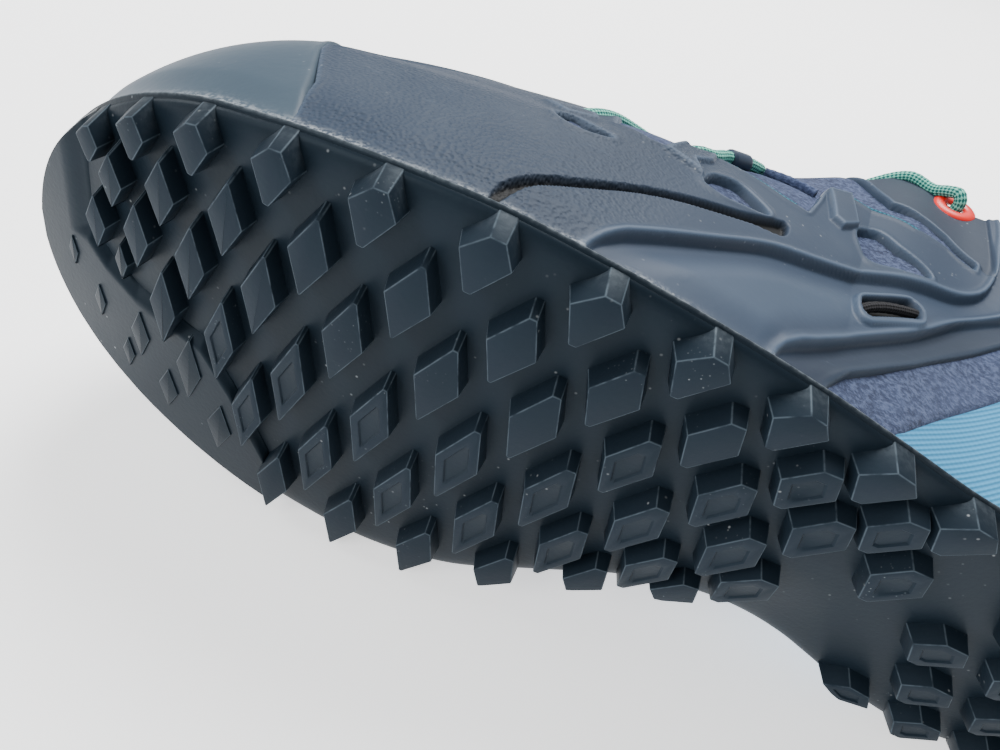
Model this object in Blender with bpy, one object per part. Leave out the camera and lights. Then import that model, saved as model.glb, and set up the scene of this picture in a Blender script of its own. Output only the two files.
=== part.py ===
"""Left approach shoe, lying on its medial side with the sole towards -Y and the toe towards -X.

Every shape is worked out in the foot's own frame, in millimetres: x runs from the heel (0) to the
toe, y towards the lateral side, z up from the sole. place_on_side() turns that frame into the frame
of the part: metres, +Z up, the floor at z = 0.
"""
import bmesh
import bpy
import numpy as np
from collections import namedtuple
from math import cos, pi, radians, sin
from mathutils import Matrix, Vector

MM = 0.001
LENGTH = 296.0
TOE_SPRING = 26.0
SPRING_START = 165.0
HEEL_DROP = 3.0
ARCH_RISE = 4.0
GAP = 0.3
WALL = 2.0
FOOT_INSET = 1.6
LIE_ROLL_DEG = 0.146
LIE_PITCH_DEG = 6.884

Edge = namedtuple("Edge", "x lateral medial")
OUTLINE = (
    Edge(3, 12.5, -14), Edge(9, 20, -21.5), Edge(20, 28, -29.5), Edge(40, 34.5, -36),
    Edge(60, 36, -37.5), Edge(80, 35.5, -34), Edge(100, 36.5, -28.5), Edge(120, 41, -26.5),
    Edge(140, 45.5, -29.5), Edge(160, 49, -39), Edge(180, 51.5, -50.5), Edge(200, 52.3, -56),
    Edge(220, 50.3, -57), Edge(240, 46.5, -55.5), Edge(256, 41.5, -52), Edge(270, 33.5, -47),
    Edge(281, 23.5, -40.5), Edge(289, 12.5, -32.5), Edge(294, 0.5, -23),
)
HEEL_END = (0.0, -1.0)
TOE_END = (LENGTH, -12.0)

# Each row ties a place on the foot outline (foot) to the top line of the upper above it.
Top = namedtuple("Top", "foot x lateral medial z square bulge")
HEEL_TOP = Top(0, 7, -1, -1, 100, 1.5, 4)
TOE_TOP = Top(LENGTH, 191, -8, -8, 80, 2.8, 0)
TOP_LINE = (
    Top(10, 11, 15, -17, 97, 1.5, 3), Top(35, 31, 28, -30, 86, 1.6, 3), Top(60, 54, 34, -36, 79.5, 1.75, 2),
    Top(85, 71, 42, -38, 102, 1.9, 1), Top(105, 84, 41, -38, 107, 2.0, 0), Top(125, 95, 39.5, -44, 118, 2.0, 0),
    Top(145, 110, 34, -38, 114, 2.0, 0), Top(165, 126, 29, -35, 106.5, 2.1, 0), Top(185, 142, 24.5, -33, 98.5, 2.15, 0),
    Top(205, 157, 20.5, -30.5, 91, 2.3, 0), Top(225, 169, 16, -27, 86, 2.5, 0), Top(245, 179, 11, -23.5, 83, 2.75, 0),
    Top(265, 186, 5.5, -19, 81, 3.0, 0), Top(284, 190, -1, -14, 80, 3.0, 0),
)

LUG_HEIGHT = 4.5
LUG_ROOT = 1.6
LUG_DRAFT = 0.9
PITCH = 19.3
LugRow = namedtuple("LugRow", "offset first last half_length")
FORE_LUGS = (
    LugRow(6.0, -4.0, 6.0, 9.0), LugRow(21.2, -3.5, 5.5, 9.8), LugRow(37.0, -4.0, 6.0, 11.8),
    LugRow(57.0, -2.5, 4.5, 14.2), LugRow(77.0, -1.0, 5.0, 14.5), LugRow(97.0, -0.5, 4.5, 12.5),
)
HEEL_LUGS = (
    LugRow(6.5, 0.0, 3.0, 7.0), LugRow(20.5, 0.5, 3.5, 7.5), LugRow(35.5, 0.0, 3.0, 7.5),
    LugRow(50.5, 0.5, 3.5, 7.5), LugRow(65.0, 0.0, 3.0, 7.0),
)
LugSize = namedtuple("LugSize", "x half_width share slant blunt")
LUG_SIZES = (
    LugSize(95, 5.6, 0.80, 1.9, 0.38), LugSize(125, 5.6, 0.84, 1.9, 0.36), LugSize(150, 4.9, 0.92, 1.8, 0.30),
    LugSize(175, 4.8, 1.0, 1.4, 0.20), LugSize(200, 4.6, 1.0, 1.1, 0.12), LugSize(222, 4.3, 1.0, 0.8, 0.10),
    LugSize(240, 3.8, 0.92, 0.3, 0.08), LugSize(256, 3.5, 0.80, 0.0, 0.07), LugSize(278, 2.6, 0.56, 0.0, 0.07),
)
RowScale = namedtuple("RowScale", "x factor")
ROW_SCALE = (
    RowScale(95, 0.62), RowScale(122, 0.64), RowScale(142, 0.80), RowScale(161, 0.88), RowScale(180, 0.95),
    RowScale(200, 1.0), RowScale(222, 0.98), RowScale(238, 0.91), RowScale(252, 0.88), RowScale(264, 0.78),
    RowScale(278, 0.63),
)
PLATFORM_HEIGHT = 2.2
Ledge = namedtuple("Ledge", "x inner")
PLATFORM = (
    Ledge(228, -52), Ledge(231, -36), Ledge(242, -22), Ledge(253, -11), Ledge(264, -7), Ledge(274, -4),
    Ledge(281, 6), Ledge(286, 10),
)

# Overlays: at each foot position, the band of the upper's height (0 sole, 1 top line) that is covered.
Band = namedtuple("Band", "foot low high")
TOE_CAP = (
    Band(237, 0.010, 0.020), Band(241, 0.010, 0.100), Band(247, 0.010, 0.220), Band(256, 0.010, 0.420),
    Band(266, 0.010, 0.563), Band(276, 0.010, 0.653), Band(286, 0.010, 0.713), Band(292, 0.010, 0.733),
    Band(LENGTH, 0.010, 0.740),
)
SIDE_RAND = (
    Band(250, 0.298, 0.312), Band(245, 0.192, 0.312), Band(240, 0.105, 0.315), Band(236.5, 0.040, 0.325),
    Band(229, 0.010, 0.338), Band(218, 0.010, 0.294), Band(207, 0.010, 0.256), Band(203, 0.012, 0.245),
    Band(198, 0.062, 0.240), Band(192, 0.113, 0.256), Band(186, 0.156, 0.284), Band(177, 0.194, 0.294),
    Band(168, 0.230, 0.284), Band(162, 0.256, 0.270),
)
CAGE = (
    Band(201, 0.010, 0.020), Band(198, 0.010, 0.050), Band(192, 0.010, 0.101), Band(186, 0.010, 0.144),
    Band(177, 0.010, 0.182), Band(168, 0.010, 0.218), Band(161, 0.010, 0.243), Band(158, 0.010, 0.400),
    Band(152, 0.010, 0.470), Band(145, 0.010, 0.520), Band(138, 0.012, 0.560), Band(129, 0.070, 0.600),
    Band(119.5, 0.130, 0.625), Band(112, 0.190, 0.660), Band(104, 0.260, 0.700), Band(97, 0.315, 0.720),
    Band(91, 0.365, 0.700), Band(86, 0.410, 0.620),
)
EYESTAY = (
    Band(232, 0.360, 0.420), Band(224, 0.335, 0.600), Band(216, 0.305, 0.760), Band(208, 0.275, 0.820),
    Band(200, 0.255, 0.700), Band(195, 0.265, 0.700), Band(189, 0.286, 0.830), Band(181, 0.312, 0.830),
    Band(175, 0.312, 0.690), Band(169, 0.302, 0.690), Band(163, 0.290, 0.840),
)
LACE_RADIUS = 1.6
LACE_BARS = (205.0, 185.0, 165.0, 145.0)
LACE_HEIGHT = 0.80
LACE_LIFT = 5.0
EYELET_LIFT = {1: 0.45, -1: 1.3}

Paint = namedtuple("Paint", "rgb roughness")
PAINTS = {
    "outsole": Paint((0.030, 0.036, 0.046), 0.62), "insole": Paint((0.10, 0.11, 0.13), 0.9),
    "upper": Paint((0.045, 0.052, 0.110), 0.9), "tongue": Paint((0.050, 0.058, 0.115), 0.9),
    "toe_cap": Paint((0.085, 0.115, 0.155), 0.5), "side_rand": Paint((0.062, 0.075, 0.105), 0.65),
    "cage": Paint((0.060, 0.072, 0.100), 0.55), "eyestay": Paint((0.060, 0.072, 0.100), 0.55),
    "slot_cord": Paint((0.008, 0.008, 0.010), 0.8), "lace": Paint((0.090, 0.330, 0.320), 0.8),
    "eyelet_lateral": Paint((0.70, 0.035, 0.020), 0.35), "eyelet_medial": Paint((0.70, 0.035, 0.020), 0.35),
}


def smooth(start, end, value):
    t = np.clip((np.asarray(value, float) - start) / (end - start), 0.0, 1.0)
    return t * t * (3.0 - 2.0 * t)


def hermite(keys, table, where):
    """Smooth values of a table at the given keys, flat at both ends."""
    slope = np.gradient(table, keys, axis=0)
    slope[0] = slope[-1] = 0.0
    i = np.clip(np.searchsorted(keys, where) - 1, 0, len(keys) - 2)
    step = (keys[i + 1] - keys[i])[:, None]
    t = (where - keys[i])[:, None] / step
    blend = t * t * (3.0 - 2.0 * t)
    tangents = (t ** 3 - 2 * t ** 2 + t) * slope[i] + (t ** 3 - t ** 2) * slope[i + 1]
    return table[i] * (1.0 - blend) + table[i + 1] * blend + tangents * step


def closed_curve(points, steps=24):
    """Points of a smooth closed curve through the given points."""
    p = np.asarray(points, float)
    after = np.roll(p, -1, 0)
    chord = np.linalg.norm(after - p, axis=1)[:, None]
    before = np.roll(chord, 1, 0)
    way = (after - p) / chord
    tangent = (way * before + np.roll(way, 1, 0) * chord) / (before + chord)
    t = np.linspace(0.0, 1.0, steps, endpoint=False)[None, :, None]
    a, b = p[:, None], after[:, None]
    ta, tb = (tangent * chord)[:, None], (np.roll(tangent, -1, 0) * chord)[:, None]
    curve = (2 * t ** 3 - 3 * t ** 2 + 1) * a + (t ** 3 - 2 * t ** 2 + t) * ta
    curve = curve + (3 * t ** 2 - 2 * t ** 3) * b + (t ** 3 - t ** 2) * tb
    return curve.reshape(-1, p.shape[1])


def spread(points, count):
    """Count points evenly spaced along a polyline."""
    run = np.concatenate([[0.0], np.cumsum(np.linalg.norm(np.diff(points, axis=0), axis=1))])
    at = np.linspace(0.0, run[-1], count)
    return np.stack([np.interp(at, run, points[:, k]) for k in range(points.shape[1])], 1)


def foot_outline(count):
    """The sole's outline: heel, lateral side, toe at count / 2, medial side."""
    lateral = [(e.x, e.lateral) for e in OUTLINE]
    medial = [(e.x, e.medial) for e in reversed(OUTLINE)]
    fine = closed_curve([HEEL_END] + lateral + [TOE_END] + medial)
    toe = 24 * (len(OUTLINE) + 1)
    half = count // 2 + 1
    front = spread(fine[:toe + 1], half)
    back = spread(np.concatenate([fine[toe:], fine[:1]]), half)
    return np.concatenate([front, back[1:-1]])


def inward(outline):
    """Unit vectors across the outline, towards the foot."""
    way = np.roll(outline, -1, 0) - np.roll(outline, 1, 0)
    way = way / np.linalg.norm(way, axis=1)[:, None]
    return np.stack([way[:, 1], -way[:, 0]], 1)


def bottom(x, y):
    """Height of the sole's base sheet: toe spring, heel drop and the raised arch."""
    spring = TOE_SPRING * (np.maximum(x - SPRING_START, 0.0) / (LENGTH - SPRING_START)) ** 2
    drop = HEEL_DROP * (1.0 - smooth(60, 110, x))
    arch = ARCH_RISE * np.exp(-((x - 118.0) / 34.0) ** 2) * smooth(5, -28, y)
    return spring - drop + arch


def side_height(x):
    """Thickness of the sole's edge: thin at the forefoot, a stack at the heel."""
    return 3.0 + 10.0 * (1.0 - smooth(20, 95, x)) + 2.0 * smooth(262, 296, x)


class Foot:
    """The upper's surface, by place round the foot (u, in loop steps), height v and lift outwards."""
    COUNT = 720

    def __init__(self):
        self.line = foot_outline(self.COUNT)
        self.inner = inward(self.line)
        x, y = self.line.T
        base = self.line + self.inner * FOOT_INSET
        self.base = np.column_stack([base, bottom(x, y) + side_height(x) + GAP])
        self.top = np.zeros((self.COUNT, 5))
        half = self.COUNT // 2
        self.sides = {1: np.arange(half + 1), -1: np.concatenate([[0], np.arange(self.COUNT - 1, half - 1, -1)])}
        for side, places in self.sides.items():
            self.top[places] = self.top_values(side, places)

    def top_values(self, side, places):
        points = self.line[places]
        run = np.concatenate([[0.0], np.cumsum(np.linalg.norm(np.diff(points, axis=0), axis=1))])
        rows = (HEEL_TOP,) + TOP_LINE + (TOE_TOP,)
        keys = np.array([np.interp(row.foot, points[:, 0], run) for row in rows])
        keys[0], keys[-1] = 0.0, run[-1]
        across = [row.lateral if side > 0 else row.medial for row in rows]
        table = np.array([(r.x, y, r.z, r.square, r.bulge) for r, y in zip(rows, across)])
        return hermite(keys, table, run)

    def place(self, side, foot):
        """Loop step of a foot position on one side."""
        places = self.sides[side]
        steps = np.interp(foot, self.line[places, 0], np.arange(len(places)))
        return steps if side > 0 else (self.COUNT - steps)

    def point(self, u, v):
        low = np.floor(u).astype(int)
        part = (u - low)[..., None]

        def pick(values):
            return values[low % self.COUNT] * (1 - part) + values[(low + 1) % self.COUNT] * part
        base, top, inner = pick(self.base), pick(self.top), pick(self.inner)
        angle = np.clip(v, 0.0, 1.0) * pi / 2
        power = 2.0 / top[..., 3]
        over = 1.0 - np.maximum(np.cos(angle), 0.0) ** power
        rise = np.maximum(np.sin(angle), 0.0) ** power
        reach = top[..., :2] - base[..., :2]
        across = inner * np.maximum((reach * inner).sum(-1), 0.0)[..., None]
        quarter = (1.0 - smooth(170, 240, base[..., 0]))[..., None]
        plan = base[..., :2] + reach * over[..., None]
        plan = plan + (reach - across) * quarter * (rise - over)[..., None]
        plan = plan - inner * (top[..., 4] * np.sin(np.pi * v))[..., None]
        height = base[..., 2] + (top[..., 2] - base[..., 2]) * rise
        return np.concatenate([plan, height[..., None]], -1)

    def normal(self, u, v):
        v = np.clip(v, 0.01, 0.985)
        along = self.point(u + 1.5, v) - self.point(u - 1.5, v)
        up = self.point(u, v + 0.006) - self.point(u, v - 0.006)
        normal = np.cross(up, along)
        return normal / np.linalg.norm(normal, axis=-1)[..., None]

    def skin(self, u, v, lift=0.0):
        u, v = np.broadcast_arrays(np.asarray(u, float), np.asarray(v, float))
        return self.point(u, v) + self.normal(u, v) * np.asarray(lift, float)[..., None]


FOOT = Foot()


def add_object(name, bm):
    """A finished bmesh as a named object with its own material."""
    bmesh.ops.recalc_face_normals(bm, faces=bm.faces[:])
    mesh = bpy.data.meshes.new(name)
    bm.to_mesh(mesh)
    bm.free()
    obj = bpy.data.objects.new(name, mesh)
    bpy.context.scene.collection.objects.link(obj)
    if name in PAINTS:
        mat = bpy.data.materials.new(name)
        mat.use_nodes = True
        shader = mat.node_tree.nodes["Principled BSDF"]
        shader.inputs["Base Color"].default_value = (*PAINTS[name].rgb, 1.0)
        shader.inputs["Roughness"].default_value = PAINTS[name].roughness
        mesh.materials.append(mat)
    return obj


def add_points(bm, points):
    flat = np.asarray(points, float).reshape(-1, 3) * MM
    return [bm.verts.new(p) for p in flat]


def bridge(bm, low, high, closed=True):
    count = len(low)
    for i in range(count if closed else count - 1):
        j = (i + 1) % count
        bm.faces.new((low[i], low[j], high[j], high[i]))


def cap_across(bm, ring):
    """Fill a ring by strips from one side to the other."""
    count = len(ring)
    half = count // 2
    bm.faces.new((ring[0], ring[1], ring[-1]))
    for i in range(1, half - 1):
        bm.faces.new((ring[i], ring[i + 1], ring[count - i - 1], ring[count - i]))
    bm.faces.new((ring[half - 1], ring[half], ring[half + 1]))


def ring_solid(name, rings):
    """A closed solid through rings of equal count, capped at both ends."""
    bm = bmesh.new()
    loops = [add_points(bm, ring) for ring in rings]
    for low, high in zip(loops, loops[1:]):
        bridge(bm, low, high)
    cap_across(bm, loops[0])
    cap_across(bm, loops[-1])
    return add_object(name, bm)


def sheet_solid(name, inner, outer, open_cells=()):
    """A closed solid between two grids of points (rows, columns), with some cells left open."""
    rows, columns = outer.shape[:2]
    cells = {(r, c) for r in range(rows - 1) for c in range(columns - 1)} - set(open_cells)
    bm = bmesh.new()
    used = sorted({(r + a, c + b) for r, c in cells for a in (0, 1) for b in (0, 1)})
    low = dict(zip(used, add_points(bm, [inner[k] for k in used])))
    high = dict(zip(used, add_points(bm, [outer[k] for k in used])))
    for r, c in sorted(cells):
        corners = ((r, c), (r, c + 1), (r + 1, c + 1), (r + 1, c))
        bm.faces.new([high[k] for k in corners])
        bm.faces.new([low[k] for k in reversed(corners)])
        sides = (((r - 1, c), 0), ((r, c + 1), 1), ((r + 1, c), 2), ((r, c - 1), 3))
        for neighbour, k in sides:
            if neighbour not in cells:
                a, b = corners[k], corners[(k + 1) % 4]
                bm.faces.new((high[b], high[a], low[a], low[b]))
    return add_object(name, bm)


def tube(name, path, radius, sides=6):
    """A round bar swept along a path."""
    path = [Vector(p) for p in path]
    count = len(path)
    bm = bmesh.new()
    rings = []
    side = None
    for i, here in enumerate(path):
        ahead = path[min(i + 1, count - 1)]
        behind = path[max(i - 1, 0)]
        way = (ahead - behind).normalized()
        side = way.orthogonal() if side is None else side - way * side.dot(way)
        side.normalize()
        other = way.cross(side)
        turn = [2 * pi * k / sides for k in range(sides)]
        rings.append(add_points(bm, [here + (side * cos(a) + other * sin(a)) * radius for a in turn]))
    for low, high in zip(rings, rings[1:]):
        bridge(bm, low, high)
    bm.faces.new(rings[0])
    bm.faces.new(rings[-1])
    return add_object(name, bm)


def washer(name, centre, out, a, b):
    """A rounded ring lying on the upper."""
    section = ((2.6, 0.0), (2.6, 0.9), (3.4, 1.5), (5.0, 1.5), (5.9, 0.8), (5.9, 0.0))
    turn = [2 * pi * k / 16 for k in range(16)]
    bm = bmesh.new()
    rings = []
    for t in turn:
        way = a * cos(t) + b * sin(t)
        rings.append(add_points(bm, [centre + way * radius + out * lift for radius, lift in section]))
    for low, high in zip(rings, rings[1:] + rings[:1]):
        bridge(bm, low, high)
    add_object(name, bm)


def inset_ring(line, inset, height):
    """The outline moved inwards, at a height above the base sheet."""
    across = inward(line)
    move = np.minimum(inset, 12.0)
    plan = line + across * move
    if inset > 12.0:
        spine = np.column_stack([np.clip(plan[:, 0], 32, 262), np.zeros(len(plan))])
        spine[:, 1] = np.interp(spine[:, 0], (32, 118, 210, 262), (-1, 7, -2, -8))
        plan = plan + (spine - plan) * (inset - 12.0) / 100.0
    z = bottom(plan[:, 0], plan[:, 1])
    return np.column_stack([plan, z + height])


def outsole_base():
    """The base sheet with its rounded lower edge and the step along its side."""
    line = foot_outline(80)
    rise = side_height(line[:, 0])
    profile = (
        (97.0, 0.0), (60.0, 0.0), (12.0, 0.0), (2.2, 0.0), (0.6, 0.7), (0.0, 1.6),
        (0.15, rise * 0.62), (0.9, rise * 0.66), (1.0, rise), (12.0, rise), (60.0, rise), (97.0, rise),
    )
    return ring_solid("outsole", [inset_ring(line, inset, height) for inset, height in profile])


def edge_limits(x):
    places = FOOT.sides
    lateral = np.interp(x, FOOT.line[places[1], 0], FOOT.line[places[1], 1])
    medial = np.interp(x, FOOT.line[places[-1], 0], FOOT.line[places[-1], 1])
    return lateral, medial


def lug_column(step):
    """Place of a forefoot lug column along the foot; columns close up towards the toe."""
    forward = min(step, 0.0)
    return 218.0 - PITCH * step - 1.2 * forward ** 2


def lug_sites():
    """Centre, half width, half length, slant and tip cut of every lug."""
    keys, factors = zip(*ROW_SCALE)
    places = [size.x for size in LUG_SIZES]
    for row in FORE_LUGS:
        for step in np.arange(row.first, row.last + 0.1, 1.0):
            x = lug_column(step)
            lateral, medial = edge_limits(x)
            y = lateral - max(row.offset * np.interp(x, keys, factors), 5.0)
            wide, share, slant, blunt = (np.interp(x, places, column) for column in list(zip(*LUG_SIZES))[1:])
            if row is FORE_LUGS[0]:
                blunt = max(blunt, 0.30)
            yield x, max(y, medial + 5.0), wide, row.half_length * share, slant, blunt
    for row in HEEL_LUGS:
        for step in np.arange(row.first, row.last + 0.1, 1.0):
            x = 82.0 - 18.0 * step
            lateral, medial = edge_limits(x)
            if lateral - row.offset > medial + 3.5:
                yield x, lateral - row.offset, 5.8, row.half_length, 1.6, 0.42


def lug_outline(site, grow, inset):
    """Slanted rhombus across the foot with its tips cut, kept inside the sole's edge."""
    x, y, wide, long, slant, blunt = site
    wide, long = wide + grow, long + grow * 1.6
    low_cut = blunt * 0.5
    corners = (
        (low_cut * wide, low_cut - 1.0), (wide, 0.0), (blunt * wide, 1.0 - blunt),
        (-blunt * wide, 1.0 - blunt), (-wide, 0.0), (-low_cut * wide, low_cut - 1.0),
    )
    outline = []
    for dx, share in corners:
        dx = dx - slant * share
        lateral, medial = edge_limits(x + dx)
        outline.append((x + dx, float(np.clip(y + share * long, medial + inset, lateral - inset))))
    return np.array(outline)


def lug_mesh(bm, site):
    face = lug_outline(site, 0.0, 1.6)
    root = lug_outline(site, LUG_DRAFT, 1.1)
    low = np.column_stack([face, bottom(*face.T) - LUG_HEIGHT])
    high = np.column_stack([root, bottom(*root.T) + LUG_ROOT])
    rings = [add_points(bm, low), add_points(bm, high)]
    bridge(bm, *rings)
    bm.faces.new(rings[0])
    bm.faces.new(rings[1])


def platform():
    """The smooth climbing zone along the medial edge of the toe."""
    rows = []
    for ledge in PLATFORM:
        medial = edge_limits(ledge.x)[1] + 0.9
        y = np.linspace(ledge.inner, medial, 5)
        rows.append(np.column_stack([np.full(5, float(ledge.x)), y]))
    tip = FOOT.line[FOOT.COUNT // 2 - 14:FOOT.COUNT // 2 + 15:7]
    rows.append(tip + inward(FOOT.line)[FOOT.COUNT // 2 - 14:FOOT.COUNT // 2 + 15:7] * 0.9)
    plan = np.array(rows)
    z = bottom(plan[..., 0], plan[..., 1])
    low = np.concatenate([plan, (z - PLATFORM_HEIGHT)[..., None]], -1)
    high = np.concatenate([plan, (z + 1.2)[..., None]], -1)
    return sheet_solid("climbing_zone", high, low)


def fuse(target, tool):
    """Union of two objects; the tool is removed."""
    union = target.modifiers.new("union", "BOOLEAN")
    union.operation = "UNION"
    union.solver = "EXACT"
    union.use_self = True
    union.object = tool
    bpy.context.view_layer.update()
    graph = bpy.context.evaluated_depsgraph_get()
    mesh = bpy.data.meshes.new_from_object(target.evaluated_get(graph))
    target.modifiers.clear()
    target.data = mesh
    bpy.data.objects.remove(tool)


def build_outsole():
    base = outsole_base()
    fuse(base, platform())
    bm = bmesh.new()
    for site in lug_sites():
        lug_mesh(bm, site)
    fuse(base, add_object("lugs", bm))
    bm = bmesh.new()
    bm.from_mesh(base.data)
    bmesh.ops.remove_doubles(bm, verts=bm.verts[:], dist=0.00003)
    bmesh.ops.dissolve_degenerate(bm, edges=bm.edges[:], dist=0.00003)
    bm.to_mesh(base.data)
    bm.free()


def build_insole():
    line = foot_outline(48)
    rise = side_height(line[:, 0]) + 0.8
    profile = ((97.0, rise), (40.0, rise), (7.0, rise), (6.2, rise + 1.0), (6.6, rise + 4.0), (40.0, rise + 4.0),
               (97.0, rise + 4.0))
    ring_solid("insole", [inset_ring(line, inset, height) for inset, height in profile])


def build_upper():
    """One hollow shell, open at the collar, the throat and underneath."""
    u = np.linspace(0.0, FOOT.COUNT, 64, endpoint=False)
    v = np.array((0.0, 0.03, 0.09, 0.17, 0.27, 0.38, 0.50, 0.63, 0.77, 0.90, 1.0))[:, None]
    outer = FOOT.skin(u[None], v)
    inner = FOOT.skin(u[None], v, -WALL)
    bm = bmesh.new()
    outside = [add_points(bm, row) for row in outer]
    inside = [add_points(bm, row) for row in inner]
    for shell in (outside, inside):
        for low, high in zip(shell, shell[1:]):
            bridge(bm, low, high)
    for end in (0, -1):
        bridge(bm, outside[end], inside[end])
    add_object("upper", bm)


def build_tongue():
    """A padded strip under the throat, standing a little above the top eyelets."""
    rows = [row for row in TOP_LINE if row.foot >= 125]
    edge = [(r.x, r.z, r.lateral, r.medial) for r in rows[:-1]]
    edge = [(76.0, 131.0, 34.0, -35.0), (86.0, 125.0, 37.0, -38.0)] + edge + [(203.0, 78.0, 5.0, -18.0)]
    t = np.linspace(-1.0, 1.0, 9)
    outer, inner = [], []
    for x, z, lateral, medial in edge:
        lateral = lateral + 5.0 * smooth(120, 150, x) - 4.0 * (1.0 - smooth(100, 125, x))
        medial = medial - 4.0 * smooth(150, 175, x) + 9.0 * (1.0 - smooth(125, 155, x))
        y = (lateral + medial) / 2 + (lateral - medial) / 2 * t
        sag = 4.5 * t ** 2 + 2.5 * t ** 4 * smooth(95, 110, x)
        height = z - WALL - 0.9 - sag
        line = np.column_stack([np.full(9, x), y, height])
        outer.append(line)
        inner.append(line + np.array((-1.2, 0.0, -3.0)))
    sheet_solid("tongue", np.array(inner), np.array(outer))


def band_grid(bands, side, levels, low_lift, high_lift, columns=0):
    """Inner and outer point grids of an overlay; with columns, it runs on round the toe."""
    u = np.array([FOOT.place(side, band.foot) for band in bands])
    low = np.array([band.low for band in bands])
    high = np.array([band.high for band in bands])
    if columns:
        around = np.linspace(u[0], FOOT.COUNT - u[0], columns)
        mirrored = np.minimum(around, FOOT.COUNT - around)
        low, high = np.interp(mirrored, u, low), np.interp(mirrored, u, high)
        u = around
    v = low + (high - low) * np.array(levels)[:, None]
    return FOOT.skin(u[None], v, low_lift), FOOT.skin(u[None], v, high_lift)


def build_overlays():
    even = np.linspace(0.0, 1.0, 7)
    sheet_solid("toe_cap", *band_grid(TOE_CAP, 1, even, 0.7, 2.1, columns=33))
    sheet_solid("side_rand", *band_grid(SIDE_RAND, 1, even[::2], 0.4, 2.0))
    slot = [(2, c) for c in (10, 11)]
    levels = (0.0, 0.1, 0.2, 0.3, 0.5, 0.75, 1.0)
    sheet_solid("cage", *band_grid(CAGE, 1, levels, 0.8, 2.4), open_cells=slot)
    windows = [(r, c) for r in (2, 3, 4, 5) for c in (1, 3, 4, 6, 8)]
    sheet_solid("eyestay", *band_grid(EYESTAY, 1, np.linspace(0.0, 1.0, 9), 1.1, 2.6), open_cells=windows)


def over_edge(side, feet):
    """Places just above the throat's edge."""
    u = np.array([FOOT.place(side, foot) for foot in feet])
    return FOOT.point(u, np.ones(len(u))) + np.array((0.0, -2.0 * side, 5.5))


def build_lacing():
    """Bars across the throat joined to a run along each side, stopping at the top eyelets."""
    feet = np.linspace(206.0, 117.0, 9)
    u = np.array([FOOT.place(1, foot) for foot in feet])
    lace = tube("lace", FOOT.skin(u, np.full(9, LACE_HEIGHT), np.full(9, LACE_LIFT)), LACE_RADIUS)
    fuse(lace, tube("medial_run", over_edge(-1, feet), LACE_RADIUS))
    for foot in LACE_BARS:
        place = np.full(2, FOOT.place(1, foot))
        flank = FOOT.skin(place, np.array((LACE_HEIGHT, 0.93)), np.full(2, LACE_LIFT))
        ends = over_edge(1, [foot]), over_edge(-1, [foot])
        middle = (ends[0] + ends[1]) / 2 + np.array((0.0, 0.0, 3.0))
        fuse(lace, tube("bar", np.concatenate([flank, ends[0], middle, ends[1]]), LACE_RADIUS))
    for name, side in (("eyelet_lateral", 1), ("eyelet_medial", -1)):
        u = np.array([FOOT.place(side, 107.0)])
        height = np.array([0.93])
        centre = Vector(FOOT.skin(u, height, np.array([EYELET_LIFT[side]]))[0])
        out = Vector(FOOT.normal(u, height)[0])
        a = out.orthogonal().normalized()
        b = out.cross(a)
        washer(name, centre, out, a, b)


def build_slot_cord():
    """The cord that shows inside the cage's slot."""
    u = np.array([FOOT.place(1, foot) for foot in (136, 133, 130, 127, 124, 121.5)])
    v = np.array((0.163, 0.178, 0.194, 0.209, 0.225, 0.239))
    tube("slot_cord", FOOT.skin(u, v, np.full(6, 1.7)), 1.1)


def place_on_side():
    """Turn the foot's frame into the part's frame and set it on the floor, centred."""
    lie = Matrix(((-1, 0, 0, 0), (0, 0, 1, 0), (0, 1, 0, 0), (0, 0, 0, 1)))
    turn = Matrix.Rotation(radians(LIE_PITCH_DEG), 4, "Y") @ Matrix.Rotation(radians(LIE_ROLL_DEG), 4, "X") @ lie
    objects = [obj for obj in bpy.context.scene.objects if obj.type == "MESH"]
    for obj in objects:
        obj.data.transform(turn)
    points = np.array([v.co for obj in objects for v in obj.data.vertices])
    low, high = points.min(0), points.max(0)
    shift = Vector((-(low[0] + high[0]) / 2, -(low[1] + high[1]) / 2, -low[2]))
    for obj in objects:
        obj.data.transform(Matrix.Translation(shift))
        obj.data.update()
    print("shift_mm", [round(s / MM, 3) for s in shift], "size_mm", (high - low) / MM)


def main():
    for obj in list(bpy.data.objects):
        bpy.data.objects.remove(obj)
    build_outsole()
    build_insole()
    build_upper()
    build_tongue()
    build_overlays()
    build_slot_cord()
    build_lacing()
    place_on_side()


main()
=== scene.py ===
"""Left approach shoe for the photograph's view: lugged sole, toe cap, rand, moulded cage, suede and laces.

Shapes are worked out in the foot's own frame, in millimetres: x runs from the heel (0) to the toe, y
towards the lateral side, z up from the sole. PLACE carries that frame to the frame of the part.
"""
from collections import namedtuple
from math import pi, radians

import bmesh
import bpy
import numpy as np
from mathutils import Matrix, Vector


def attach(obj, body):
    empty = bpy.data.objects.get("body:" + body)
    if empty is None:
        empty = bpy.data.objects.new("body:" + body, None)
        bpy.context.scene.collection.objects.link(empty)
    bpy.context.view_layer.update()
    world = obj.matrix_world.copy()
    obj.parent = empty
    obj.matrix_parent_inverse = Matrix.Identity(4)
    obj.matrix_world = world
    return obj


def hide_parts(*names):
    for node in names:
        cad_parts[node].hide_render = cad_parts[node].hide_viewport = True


MM = 0.001
LENGTH = 296.0
TOE_SPRING = 26.0
SPRING_START = 165.0
HEEL_DROP = 3.0
ARCH_RISE = 4.0
GAP = 0.3
WALL = 2.0
FOOT_INSET = 1.6
LIE_ROLL_DEG = 0.146
LIE_PITCH_DEG = 6.884
LIE_SHIFT = (147.542, -60.255, 31.586)

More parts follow.
